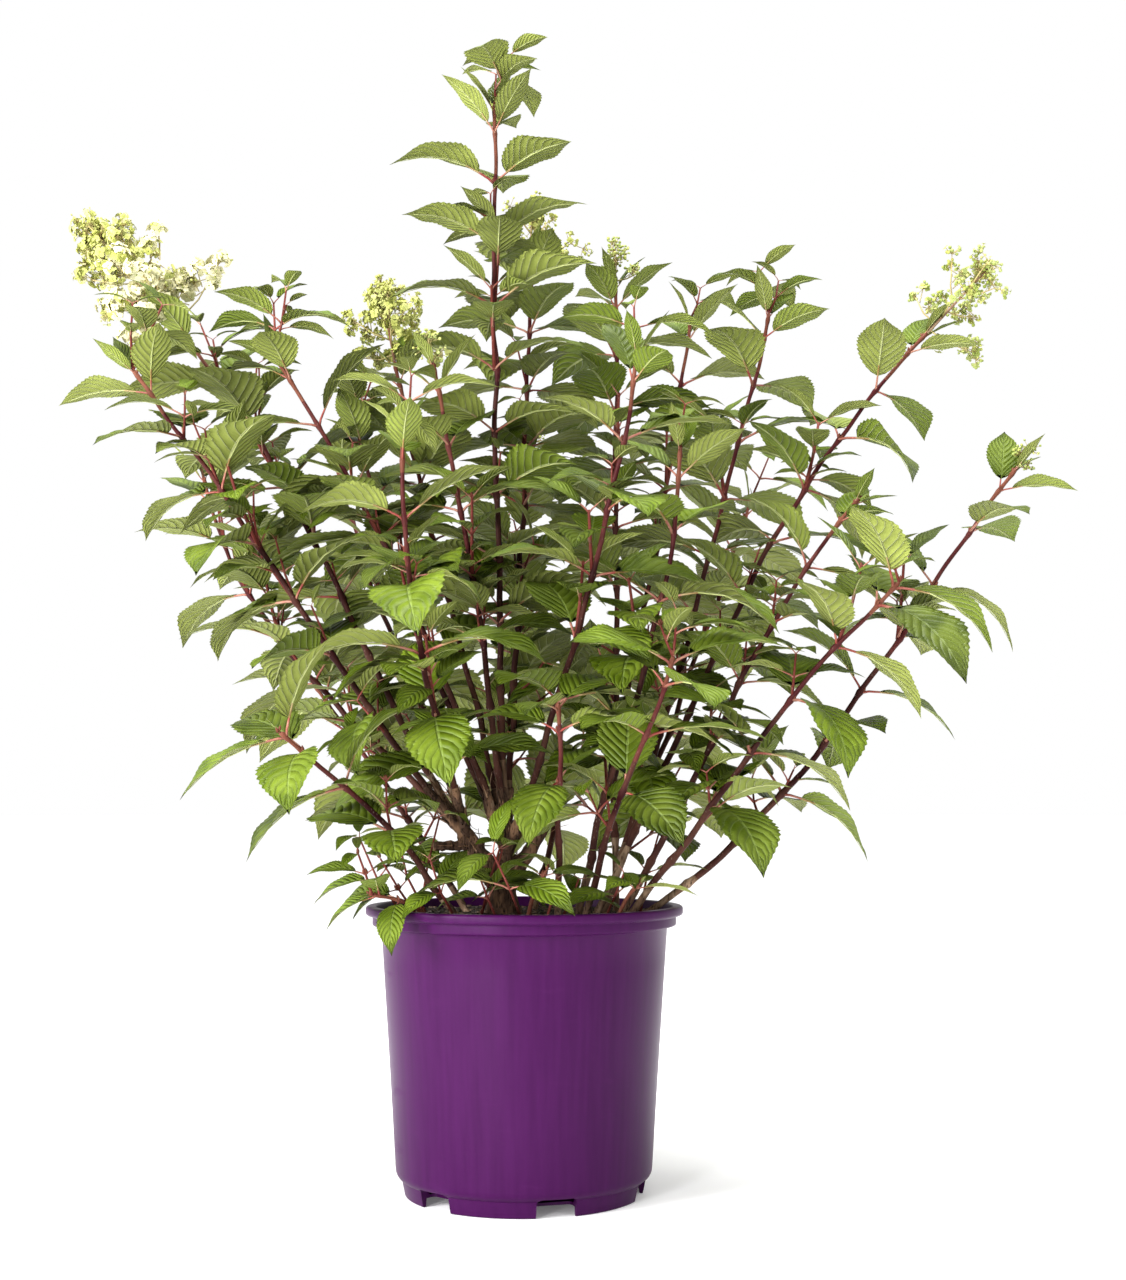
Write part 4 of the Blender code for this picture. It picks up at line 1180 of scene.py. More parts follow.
def notch_cutter(index, pot):
    """A block with rounded corners that cuts one drain notch."""
    deselect()
    angle = math.radians(FIRST_NOTCH + index * 360 / NOTCH_COUNT)
    place = (FOOT_RADIUS * math.sin(angle), -FOOT_RADIUS * math.cos(angle), 0.0)
    bpy.ops.mesh.primitive_cube_add(size=1.0, location=place, rotation=(0.0, 0.0, angle))
    cutter = only(bpy.context.object)
    cutter.scale = (pot.notch_width, NOTCH_DEPTH, 2 * pot.notch_height)
    bpy.ops.object.transform_apply(location=False, rotation=False, scale=True)
    for edge in cutter.data.edges:
        ends = [cutter.data.vertices[i].co for i in edge.vertices]
        edge.select = all(end.z > 0 for end in ends) and abs(ends[0].x - ends[1].x) < 1e-6
    bpy.ops.object.mode_set(mode="EDIT")
    bpy.ops.mesh.select_mode(type="EDGE")
    bpy.ops.mesh.bevel(offset=NOTCH_CORNER, segments=4)
    bpy.ops.object.mode_set(mode="OBJECT")
    return cutter


def build_pot(pot):
    """The pot, with its drain notches cut and its edges eased."""
    obj = lathe("nursery_pot", pot_outline(pot), POT_SEGMENTS)
    cutters = [notch_cutter(index, pot) for index in range(NOTCH_COUNT)]
    for index, cutter in enumerate(cutters):
        cut = obj.modifiers.new(f"Notch {index}", "BOOLEAN")
        cut.operation = "DIFFERENCE"
        cut.object = cutter
        cut.solver = "EXACT"
    settle(obj, plastic_material(pot.colour))
    for cutter in cutters:
        bpy.data.objects.remove(cutter, do_unlink=True)
    only(obj)
    bpy.ops.object.shade_smooth_by_angle(angle=math.radians(32))
    deselect()
    return placed(obj, "pot_plastic", "pot")


# Soil
SOIL_SEGMENTS = 128
SOIL_RINGS = 22
SOIL_EDGE_GAP = 0.0006
SOIL_CHAMFER = 0.006
SOIL_SETTLED = 0.0008

# Unevenness: noise per metre, the height that the noise is read at, and its rise
SOIL_NOISES = ((38.0, 0.0, 0.0022), (130.0, 3.0, 0.0012))

# Crumbs of bark: length, then width and height as shares of it, how far they stand out,
# and how likely each of the three common colours is. The chip is one large crumb.
CRUMB_COLOURS = {
    "crumb_black": (0.012, 0.009, 0.008, 1),
    "crumb_brown": (0.060, 0.034, 0.020, 1),
    "crumb_tan": (0.170, 0.110, 0.065, 1),
    "crumb_orange": (0.420, 0.150, 0.045, 1),
}
CRUMB_LENGTHS = (0.0025, 0.0080)
CRUMB_WIDTHS = (0.35, 0.8)
CRUMB_HEIGHTS = (0.2, 0.5)
CRUMB_RISE = 0.2
CRUMB_WEIGHTS = (5, 4, 1.6)
CRUMB_EDGE = 0.0004
CHIP_SIZE = (0.016, 0.010, 0.008)
CHIP_PLACE = (-0.033, -0.100)
CHIP_RISE = 0.003
CHIP_TONE = 3

# A lump's corners reach a share of its size, and it tilts by up to so many radians
LUMP_REACH = (0.35, 0.55)
LUMP_TILT = 0.5
LUMP_FACES = ((0, 1, 3, 2), (4, 6, 7, 5), (0, 4, 5, 1), (2, 3, 7, 6), (0, 2, 6, 4), (1, 5, 7, 3))


def soil_height(x, y):
    """Height of the uneven soil at a place."""
    height = SOIL_TOP - SOIL_SETTLED
    for scale, level, rise in SOIL_NOISES:
        height += noise.noise(Vector((x, y, level)) * scale) * rise
    return height


def build_soil(soil):
    """The soil with an uneven top, crumbs of bark on it and one large chip."""
    side = LIP_INNER_RADIUS - SOIL_EDGE_GAP
    rings = [(0.002, COLLAR_BOTTOM), (side - SOIL_CHAMFER, COLLAR_BOTTOM)]
    rings += [
        (side * (1 - step / SOIL_RINGS) + 0.002 * step / SOIL_RINGS, SOIL_TOP)
        for step in range(SOIL_RINGS)
    ]
    obj = lathe("potting_mix", rings, SOIL_SEGMENTS)
    for vert in obj.data.vertices:
        if vert.co.z > SOIL_TOP - 1e-4:
            vert.co.z = soil_height(vert.co.x, vert.co.y)
    settle(obj, soil_material(soil.colour))
    only(obj)
    bpy.ops.object.shade_smooth()
    deselect()
    placed(obj, "potting_mix", "soil")
    build_crumbs(soil)


def lump(rng, size):
    """The corners of a rough lump, turned by chance; LUMP_FACES are its faces."""
    corners = [
        Vector((x * size[0], y * size[1], z * size[2])) * rng.uniform(*LUMP_REACH)
        for x in (-1, 1) for y in (-1, 1) for z in (-1, 1)
    ]
    turn = Matrix.Rotation(any_turn(rng), 3, "Z")
    turn = turn @ Matrix.Rotation(rng.uniform(-LUMP_TILT, LUMP_TILT), 3, "X")
    return [turn @ corner for corner in corners]


def add_lump(crumbs, rng, size, x, y, rise, tone):
    """One lump at a rise above the soil; without a tone, it gets one by chance."""
    place = Vector((x, y, soil_height(x, y) + rise))
    corners = [place + corner for corner in lump(rng, size)]
    if tone is None:
        tone = rng.choices(range(len(CRUMB_WEIGHTS)), CRUMB_WEIGHTS)[0]
    crumbs.add(corners, LUMP_FACES, tone, np.zeros((4 * len(LUMP_FACES), 2)))


def build_crumbs(soil):
    """Bark crumbs strewn over the soil, and one orange chip near the front."""
    rng = random.Random("crumbs")
    tones = [crumb_material(name, colour) for name, colour in CRUMB_COLOURS.items()]
    crumbs = Joined("bark_crumbs", tones)
    reach = LIP_INNER_RADIUS - SOIL_CHAMFER
    for _ in range(soil.crumbs):
        from_axis = reach * math.sqrt(rng.random())
        angle = any_turn(rng)
        x, y = from_axis * math.cos(angle), from_axis * math.sin(angle)
        length = rng.uniform(*CRUMB_LENGTHS)
        size = (length, length * rng.uniform(*CRUMB_WIDTHS), length * rng.uniform(*CRUMB_HEIGHTS))
        add_lump(crumbs, rng, size, x, y, size[2] * CRUMB_RISE, None)
    add_lump(crumbs, rng, CHIP_SIZE, *CHIP_PLACE, CHIP_RISE, CHIP_TONE)
    obj = crumbs.build("root", "potting_mix")
    bevel = obj.modifiers.new("Worn edges", "BEVEL")
    bevel.width = CRUMB_EDGE
    bevel.segments = 1
    only(obj)
    bpy.ops.object.modifier_apply(modifier=bevel.name)
    deselect()


# Woody crown
CROWN_VOXEL = 0.0013
LIMB_SIDES = 12

# How much of a cane belongs to the crown: points, their spacing, and first and last radius
LIMB_POINTS = 6
LIMB_STEP = 0.012
LIMB_RADII = (0.0052, 0.0034)

# Bark: ridges' noise per metre across and up, that of lumps, and how high both rise
BARK_RIDGES = (330, 46)
BARK_LUMPS = 95.0
RIDGE_RISE = 0.0011
LUMP_RISE = 0.0015

# Peeling strips: place as a share of a limb, lift off it, length, width, droop and fold
STRIP_PLACES = (0.15, 0.9)
STRIP_LIFTS = (0.02, 0.14)
STRIP_LENGTHS = (0.012, 0.030)
STRIP_WIDTHS = (0.0016, 0.0038)
STRIP_DROOPS = (-50, -8)
STRIP_FOLDS = (-30, 10)
STRIP_THICKNESS = 0.0004
STRIP_ROOT = 0.92


def bark_noise(place):
    """Height of old bark's ridges at a place, which run mostly upward."""
    across, upward = BARK_RIDGES
    ridges = noise.noise(Vector((place.x * across, place.y * across, place.z * upward)))
    return ridges * RIDGE_RISE + noise.noise(place * BARK_LUMPS) * LUMP_RISE


def crown_limbs(paths):
    """The flared foot, its stubs, and the first stretch of each cane that it bears."""
    waist = CROWN_FOOT + Vector((0.0, 0.0, 0.020))
    limbs = [
        (
            (CROWN_FOOT - UP * 0.006, CROWN_FOOT, waist, MIDDLE_FORK),
            (0.0185, 0.0165, 0.0125, 0.0085),
        ),
        ((waist, LEFT_FORK + Vector((-0.004, 0, 0.006))), (0.0105, 0.0078)),
        ((MIDDLE_FORK.lerp(LEFT_FORK, 0.6), Vector((-0.080, -0.016, 0.300))), (0.0052, 0.0042)),
        ((waist, Vector((0.019, 0.004, 0.318))), (0.0082, 0.0050)),
        ((MIDDLE_FORK, Vector((0.002, 0.020, 0.324))), (0.0052, 0.0042)),
    ]
    for cane in CANES:
        if len(cane.foot) == 3:
            path = paths[cane.name]
            points = [place_at(path, step * LIMB_STEP)[0] for step in range(LIMB_POINTS)]
            limbs.append((points, np.linspace(*LIMB_RADII, LIMB_POINTS)))
    return limbs


def build_crown(bark, paths):
    """The woody crown: limbs fused by a voxel remesh, then given the bark's relief."""
    old = bark_material("old_bark", bark.old, bark.peeled)
    limbs = Joined("woody_crown", [old])
    for points, radii in crown_limbs(paths):
        limbs.add_tube(points, radii, LIMB_SIDES)
    obj = limbs.build("root", "old_bark", "crown")
    only(obj)
    fuse = obj.modifiers.new("Fuse", "REMESH")
    fuse.mode = "VOXEL"
    fuse.voxel_size = CROWN_VOXEL
    bpy.ops.object.modifier_apply(modifier=fuse.name)
    normals = [vert.normal.copy() for vert in obj.data.vertices]
    for vert, normal in zip(obj.data.vertices, normals):
        vert.co += normal * bark_noise(vert.co)
    bpy.ops.object.shade_smooth()
    deselect()
    build_strips(bark, paths)


def build_strips(bark, paths):
    """Strips of bark that peel off the crown and the feet of the canes."""
    rng = random.Random("strips")
    tones = [
        bark_material("peeled_bark", bark.peeled, tinted(bark.peeled, 0.4, (0.6, 0.42, 0.28))),
        bark_material("dark_bark", bark.old, tinted(bark.old, 0.3)),
    ]
    strips = Joined("bark_strips", tones)
    limbs = crown_limbs(paths)
    for index in range(bark.strips):
        points, radii = limbs[index % len(limbs)]
        share = rng.uniform(*STRIP_PLACES)
        step = min(int(share * (len(points) - 1)), len(points) - 2)
        part = share * (len(points) - 1) - step
        place = points[step].lerp(points[step + 1], part)
        radius = radii[step] + (radii[step + 1] - radii[step]) * part
        way = (points[step + 1] - points[step]).normalized()
        angle = any_turn(rng)
        outward = square_to(Vector((math.cos(angle), math.sin(angle), 0)), way)
        along = (way * rng.choice((1, 1, -1)) + outward * rng.uniform(*STRIP_LIFTS)).normalized()
        up = square_to(outward, along)
        length = rng.uniform(*STRIP_LENGTHS)
        width = rng.uniform(*STRIP_WIDTHS)
        droop = math.radians(rng.uniform(*STRIP_DROOPS))
        fold = math.radians(rng.uniform(*STRIP_FOLDS))
        root = place + outward * radius * STRIP_ROOT
        leaf = Leaf(root, along, up, length, width, STRIP_THICKNESS, droop, fold)
        places = bent(STRIP_FORM, leaf, STRIP_SHAPE, rng.uniform(0, 6))
        if places[:, 2].min() > SOIL_TOP:
            strips.add(places, STRIP_FORM.faces, rng.choice((0, 0, 1)), STRIP_FORM.corners)
    strips.build("root", "old_bark")


# Canes
CANE_SIDES = 8
RING_SPACING = 0.006
NODE_SWELL = 0.42
NODE_REACH = 0.0035
WAVER = 0.0040
CANE_STRETCHES = (0.12, 0.34, 0.62, 0.90)
LOWEST_SWELL = 0.03
SHOOT_THICKNESS = 0.7
YOUNG_WOOD = 4

# Ridges along a cane: noise per metre across and along it, and depth as a share of its
# radius, which counts the wood as at least so old
RIDGE_SCALES = (420, 420, 55)
RIDGE_DEPTH = 0.10
RIDGE_LEAST = 0.35
WAVER_SCALE = 17.0
WAVER_EASE = 0.05

# Buds in the axils of a cane's first leaves
BUDDED_LEAVES = 14
BUD_RISE = 1.3
BUD_START = 0.0016
BUD_STEPS = (0.0, 0.0016, 0.0034, 0.0052)
BUD_RADII = (0.0009, 0.0014, 0.0011, 0.0002)
BUD_SIDES = 5


def cane_radii(distances, nodes, total):
    """Radius along a cane: it tapers, and swells at each node."""
    radii = FOOT_RADIUS_CANE + (TIP_RADIUS - FOOT_RADIUS_CANE) * distances / total
    for node in nodes:
        radii = radii * (1 + NODE_SWELL * np.exp(-(((distances - node) / NODE_REACH) ** 2)))
    return radii


def cane_relief(places, rings, radii):
    """Lengthwise ridges, deepest on the thick old wood."""
    moved = places.copy()
    for row in range(places.shape[0]):
        depth = RIDGE_DEPTH * max(radii[row] / FOOT_RADIUS_CANE, RIDGE_LEAST)
        for side in range(places.shape[1]):
            ridge = noise.noise(Vector(places[row, side] * RIDGE_SCALES))
            moved[row, side] += rings[row, side] * ridge * depth * radii[row]
    return moved


def cane_distances(total, nodes):
    """Ring distances along a cane, closer together where it swells."""
    even = np.linspace(0.0, total, max(8, round(total / RING_SPACING)))
    close = [node + step * NODE_REACH for node in nodes for step in (-0.6, 0.0, 0.6)]
    merged = np.array(sorted(set(even) | {d for d in close if 0 < d < total}))
    keep = np.concatenate([[True], np.diff(merged) > 0.0008])
    return merged[keep]


def wavering(place, distance, total):
    """A slight swerve off a cane's smooth curve, none at its foot and its tip."""
    ease = min(distance, total - distance, WAVER_EASE) / WAVER_EASE
    here = place * WAVER_SCALE
    swerve = Vector((noise.noise(here), noise.noise(here + Vector((9, 9, 9))), 0.0))
    return swerve * ease * WAVER


def build_cane(joined, cane, path):
    """One cane from its foot to its tip, its wood younger towards the tip."""
    total = lengths_along(path)[-1]
    nodes = node_distances(total, LOWEST_SWELL)
    distances = cane_distances(total, nodes)
    points = [place_at(path, distance)[0] for distance in distances]
    points = [point + wavering(point, distance, total) for point, distance in zip(points, distances)]
    radii = cane_radii(distances, nodes, total)
    stretch = np.searchsorted(CANE_STRETCHES, (distances[:-1] + distances[1:]) / 2 / total)
    if cane in SHOOTS:
        radii = radii * SHOOT_THICKNESS
        stretch = np.full_like(stretch, YOUNG_WOOD)
    joined.add_tube(points, radii, CANE_SIDES, stretch, cane_relief)


def build_buds(joined, leaves):
    """A small pointed bud in the axil of each leaf."""
    for leaf in leaves:
        way = (leaf.along + leaf.up * BUD_RISE).normalized()
        start = leaf.root + leaf.along * BUD_START
        points = [start + way * step for step in BUD_STEPS]
        joined.add_tube(points, BUD_RADII, BUD_SIDES, YOUNG_WOOD)


# Leaves and twigs
# How likely each tone is: deep, mid, vivid, fresh and painted-sheen uppers of low, right,
# high and other canes, and grey, pale, light and lit undersides. The painted-sheen upper is
# the upper colour drawn towards the pale underside, a painted sheen, likeliest on high canes
LOW_TONES = (3, 4, 5, 2, 0.5)
RIGHT_TONES = (4, 4, 6, 2.5, 0.3)
HIGH_TONES = (2, 4, 2.5, 1.5, 3)
OTHER_TONES = (3, 4, 3.5, 1.5, 1.5)
LIT_UNDERS = (1.5, 3, 3, 3.5)
SHADED_UNDERS = (3, 5, 2, 0.6)
RIGHT_FROM = 0.09
HIGH_FROM = 0.75

# A young leaf's most length as a share of a full one's, its tone, and how often it shows
YOUNG_LENGTH = 0.5
YOUNG_TONE = 3
YOUNG_CHANCE = 0.6

# A leaf's stalk, which runs on as its midrib: places, radii, and the slots between them
STALK_PLACES = (0.0, 0.07, PETIOLE, 0.30, 0.50, 0.70, 0.90)
STALK_RADII = (1.25, 0.95, 0.85, 0.66, 0.50, 0.34, 0.14)
STALK_SLOTS = (0, 0, 1, 2, 2, 2)
STALK_THICKNESS = 0.011
STALK_SUNK = 0.55
TWIG_TAPER = (1.3, 1.0, 0.8)
LIMB_MARKS = 0.005


def cane_tones(cane):
    """How likely each tone of the upper side is on a cane."""
    if cane.tip[2] < LOW_TIP:
        return LOW_TONES
    if cane.tip[0] > RIGHT_FROM:
        return RIGHT_TONES
    return HIGH_TONES if cane.tip[2] > HIGH_FROM else OTHER_TONES


def leaf_materials(leaves):
    """Five tones of upper side and four of underside."""
    uppers = [
        upper_material("leaf_deep", tinted(leaves.upper, 0.35)),
        upper_material("leaf_mid", leaves.upper),
        upper_material("leaf_vivid", tinted(leaves.upper, 0.35, leaves.fresh[:3])),
        upper_material("leaf_fresh", leaves.fresh),
        # Painted sheen: the upper colour drawn towards the underside's pale grey-green
        upper_material("leaf_glaucous", tinted(leaves.upper, 0.40, leaves.under[:3])),
    ]
    unders = [
        under_material("under_grey", tinted(leaves.under, 0.25)),
        under_material("under_pale", leaves.under),
        under_material("under_light", tinted(leaves.under, 0.30, leaves.fresh[:3])),
        under_material("under_lit", tinted(leaves.fresh, 0.30, leaves.under[:3])),
    ]
    return uppers + unders


def add_leaf(foliage, stalks, leaf, tone, under, rng):
    """One leaf blade, with its stalk, which runs on beneath the blade as its midrib."""
    places = bent(LEAF_FORM, leaf, LEAF_SHAPE, any_turn(rng))
    slots = np.where(LEAF_FORM.upper, tone, under)
    foliage.add(places, LEAF_FORM.faces, slots, LEAF_FORM.corners, LEAF_FORM.upper)
    shares = np.array(STALK_PLACES)
    line, normals, _ = spine(leaf, shares)
    radii = STALK_THICKNESS * leaf.length * np.array(STALK_RADII)
    sunk = np.where(shares >= PETIOLE, radii * STALK_SUNK + leaf.thickness / 2, 0.0)
    stalks.add_tube(line - normals * sunk[:, None], radii, 4, STALK_SLOTS)


class Growth:
    """Every leaf and twig of the plant, fitted so that few of them touch."""

    def __init__(self, paths):
        self.paths = paths
        self.leaf_room = Room()
        self.limb_room = Room()
        self.kept = {}
        self.twigs = {}
        for path in paths.values():
            total = lengths_along(path)[-1]
            points = [place_at(path, d)[0] for d in np.arange(0.0, total, LIMB_MARKS)]
            self.limb_room.mark(np.array([tuple(point) for point in points]))

    def keep(self, name, leaves, way_at):
        """Keep the leaves of a cane that find room."""
        for leaf in leaves:
            trial = fitted(leaf, way_at(leaf.root), self.leaf_room, self.limb_room)
            if trial is not None:
                self.kept[name].append(trial)

    def stem_way(self, path):
        """A function that gives the direction of a path where it passes a place."""
        def way(place):
            index = min(range(len(path)), key=lambda step: (path[step] - place).length)
            low = max(index - 1, 0)
            high = min(index + 1, len(path) - 1)
            return (path[high] - path[low]).normalized()
        return way

    def fill(self):
        """Fit the main leaves first, then the side twigs, then the fine ones."""
        twigs = {}
        for cane in CANES + SHOOTS:
            path = self.paths[cane.name]
            leaves, twigs[cane.name] = grow(cane, path, cane.bare * lengths_along(path)[-1])
            if not cane.head:
                leaves = leaves + tip_leaves(cane, path)
            self.kept[cane.name] = []
            self.twigs[cane.name] = []
            self.keep(cane.name, leaves, self.stem_way(path))
            twigs[cane.name] += fine_twigs(cane, leaves) + low_twigs(cane, path)
        twigs["shoot_front"] += basal_twigs()
        for name, group in twigs.items():
            for twig in group:
                before = len(self.kept[name])
                self.keep(name, twig.leaves, self.stem_way(twig.path))
                if len(self.kept[name]) > before:
                    self.twigs[name].append(twig)


def build_leaves(settings, growth):
    """The foliage, and the leaf stalks and twigs that carry it, side by side."""
    leaf_looks = leaf_materials(settings)
    stalk_looks = [
        soft_material("leaf_stalk", settings.stalk, 0.45),
        soft_material("stalk_end", tinted(settings.stalk, 0.45, settings.under[:3]), 0.5),
        soft_material("midrib", tinted(settings.under, 0.08, UNDER_VEIN), 0.6),
        cane_material("twig_bark", tinted(settings.stalk, 0.45), 0.5, 0.2),
    ]
    canes = {cane.name: cane for cane in CANES + SHOOTS}
    for side, names in SIDES.items():
        foliage = Joined(f"foliage_{side}", leaf_looks)
        stalks = Joined(f"leaf_stalks_{side}", stalk_looks)
        for name in names:
            rng = random.Random(name + "_tones")
            weights = cane_tones(canes[name])
            under_weights = LIT_UNDERS if side in ("right", "low") else SHADED_UNDERS
            for leaf in growth.kept[name]:
                fresh = leaf.length < YOUNG_LENGTH * LEAF_LENGTH and rng.random() < YOUNG_CHANCE
                tone = YOUNG_TONE if fresh else rng.choices(range(len(weights)), weights)[0]
                under = len(weights) + rng.choices(range(len(under_weights)), under_weights)[0]
                add_leaf(foliage, stalks, leaf, tone, under, rng)
            for twig in growth.twigs[name]:
                stalks.add_tube(twig.path, np.array(TWIG_TAPER) * twig.radius, 6, 3)
        foliage.build("root", "leaves", *[f"leaves_{name}" for name in names])
        stalks.build("root", "leaves")


def build_canes(bark, paths, growth):
    """All canes, joined by their side of the plant."""
    looks = [
        bark_material("cane_foot_bark", bark.foot, tinted(bark.foot, 0.35, (0.5, 0.36, 0.24))),
        cane_material("cane_brown", tinted(bark.young, 0.65, tinted(bark.old, 0.65)), 0.6, 0.18),
        cane_material("cane_dark", tinted(bark.young, 0.60), 0.5, 0.18),
        cane_material("cane_burgundy", tinted(bark.young, 0.12), 0.42, 0.12),
        cane_material("cane_tip", tinted(bark.young, 0.14, (0.50, 0.22, 0.10)), 0.42, 0.1),
    ]
    canes = {cane.name: cane for cane in CANES + SHOOTS}
    for side, names in SIDES.items():
        joined = Joined(f"canes_{side}", looks)
        for name in names:
            build_cane(joined, canes[name], paths[name])
            build_buds(joined, growth.kept[name][:BUDDED_LEAVES])
        # In the solids, a shoot has no cane node of its own
        nodes = [f"cane_{name}" for name in names if canes[name] not in SHOOTS]
        joined.build("root", "cane_bark", *nodes)


# Blossom
Bloom = namedtuple("Bloom", "sprigs florets sepal buds bud")

# How many sprigs a spray bears, and a sprig's florets and buds with their sizes
BLOOMS = {
    "cone": Bloom(9, 8, 0.0057, 5, 0.0013),
    "dome": Bloom(7, 7, 0.0046, 8, 0.0015),
    "sparse": Bloom(5, 3, 0.0036, 8, 0.0014),
    "small": Bloom(4, 0, 0.0, 9, 0.0013),
    "loose": Bloom(5, 3, 0.0038, 10, 0.0016),
    "bud": Bloom(3, 0, 0.0, 7, 0.0013),
}
LIME, CREAM, GREEN = range(3)

# Heads that are still mostly green, and the share of green in them
YOUNG_HEADS = ("small", "bud", "loose")
YOUNG_SHARE = 0.7

# Sprays: degrees from one to the next and by chance, and the first one's rise above
# level with what the last one's adds, how much shorter and how far up the last is
SPRAY_TURN = 137.5
SPRAY_SPREAD = 12
SPRAY_RISE = (12, 68)
SPRAY_SIZES = (0.9, 1.1)
SPRAY_SHORTER = 0.50
SPRAY_TOP = 0.72

# Sepals of a floret, whose numbers in brackets are ranges, and its boss
SEPALS = 4
SEPAL_TURNS = (-0.12, 0.12)
SEPAL_LIFTS = (0.05, 0.45)
SEPAL_SIZES = (0.85, 1.12)
SEPAL_DROOPS = (0.1, 0.7)
SEPAL_WIDTH = 0.92
SEPAL_THICKNESS = 0.0003
SEPAL_FOLD = 0.12
BOSS_RISE = 0.08
BOSS_SIZE = 0.14

# Tufts: how much they face outward, a floret's distance, and sizes of florets and buds
TUFT_OUTWARD = 0.8
TUFT_REACH = (0.003, 0.0095)
FLORET_STALK = (0.0003, 0.0003, 0.0003)
FLORET_SIZES = (0.8, 1.15)
BUD_SIZES = (0.7, 1.3)

# A cone's chance of a creamy floret and the size of any: at the head's foot, and how
# much less towards its top
CREAMY = (1.3, 1.9)
OPENED = (1.2, 0.7)

# Axis of a head, from its cane's tip: heights as shares of the head, and radii
AXIS_START = 0.003
AXIS_HEIGHTS = (0.45, 0.84)
AXIS_RADII = (TIP_RADIUS, TIP_RADIUS * 0.8, TIP_RADIUS * 0.4)
SPRAY_END = 0.9
SPRAY_BOW = 0.06
SPRAY_RADII = (0.0009, 0.0007, 0.0005)
SPRIG_START = 0.3
SPRIG_SHIFT = 0.6
SPRIG_LENGTHS = (0.14, 0.30)
SPRIG_RADII = (0.0006, 0.0005, 0.0004)


def head_sprays(cane, path):
    """The sprays of a flower head: root, direction, length and place along the head."""
    head = HEADS[cane.head]
    rng = random.Random(cane.name + "_head")
    tip, way = place_at(path, lengths_along(path)[-1])
    for index in range(head.sprays):
        share = (index + 0.5) / head.sprays
        outward = outward_at(way, strayed(SPRAY_TURN * index, SPRAY_SPREAD, rng))
        rise = math.radians(SPRAY_RISE[0] + SPRAY_RISE[1] * share)
        along = outward * math.cos(rise) + way * math.sin(rise)
        length = head.radius * (1.0 - SPRAY_SHORTER * share) * rng.uniform(*SPRAY_SIZES)
        yield tip + way * head.length * share * SPRAY_TOP, along, length, share


def add_floret(blossom, centre, facing, size, tone, rng):
    """Rounded sepals crosswise round a small boss."""
    first = facing.orthogonal().normalized()
    first.rotate(Matrix.Rotation(any_turn(rng), 3, facing))
    for index in range(SEPALS):
        angle = math.tau / SEPALS * index + rng.uniform(*SEPAL_TURNS)
        turn = Matrix.Rotation(angle, 3, facing)
        along = (turn @ first + facing * rng.uniform(*SEPAL_LIFTS)).normalized()
        length = size * rng.uniform(*SEPAL_SIZES)
        leaf = Leaf(
            centre, along, square_to(facing, along), length, length * SEPAL_WIDTH,
            SEPAL_THICKNESS, rng.uniform(*SEPAL_DROOPS), SEPAL_FOLD,
        )
        places = bent(SEPAL_FORM, leaf, SEPAL_SHAPE, rng.uniform(0, 6))
        blossom.add(places, SEPAL_FORM.faces, tone, SEPAL_FORM.corners, SEPAL_FORM.upper)
    add_ball(blossom, centre + facing * size * BOSS_RISE, size * BOSS_SIZE, GREEN)


def ball_form():
    """The corners and faces of a ball of radius 1 with twenty faces."""
    golden = (1 + math.sqrt(5)) / 2
    corners = [Vector(c).normalized() for c in (
        (-1, golden, 0), (1, golden, 0), (-1, -golden, 0), (1, -golden, 0),
        (0, -1, golden), (0, 1, golden), (0, -1, -golden), (0, 1, -golden),
        (golden, 0, -1), (golden, 0, 1), (-golden, 0, -1), (-golden, 0, 1))]
    faces = [
        (0, 11, 5), (0, 5, 1), (0, 1, 7), (0, 7, 10), (0, 10, 11), (1, 5, 9), (5, 11, 4),
        (11, 10, 2), (10, 7, 6), (7, 1, 8), (3, 9, 4), (3, 4, 2), (3, 2, 6), (3, 6, 8),
        (3, 8, 9), (4, 9, 5), (2, 4, 11), (6, 2, 10), (8, 6, 7), (9, 8, 1)]
    return corners, faces


BALL_CORNERS, BALL_FACES = ball_form()


def add_ball(joined, centre, radius, slot):
    """A small ball, such as a bud or the boss of a floret."""
    places = [centre + corner * radius for corner in BALL_CORNERS]
    joined.add(places, BALL_FACES, slot, np.zeros((3 * len(BALL_FACES), 2)))


def add_tuft(blossom, stalks, kind, place, out, share, rng):
    """The florets and buds round the end of a sprig; share is its place up the head."""
    bloom = BLOOMS[kind]
    for index in range(bloom.florets + bloom.buds):
        facing = (any_way(rng) + out * TUFT_OUTWARD).normalized()
        centre = place + facing * rng.uniform(*TUFT_REACH)
        stalks.add_tube([place, place.lerp(centre, 0.5), centre], FLORET_STALK, 3)
        young = kind in YOUNG_HEADS and rng.random() < YOUNG_SHARE
        tone = GREEN if young else LIME
        if index < bloom.florets:
            creamy = kind == "cone" and rng.random() < CREAMY[0] - CREAMY[1] * share
            size = bloom.sepal * rng.uniform(*FLORET_SIZES) * (OPENED[0] - OPENED[1] * share)
            add_floret(blossom, centre, facing, size, CREAM if creamy else tone, rng)
        else:
            add_ball(blossom, centre, bloom.bud * rng.uniform(*BUD_SIZES), tone)


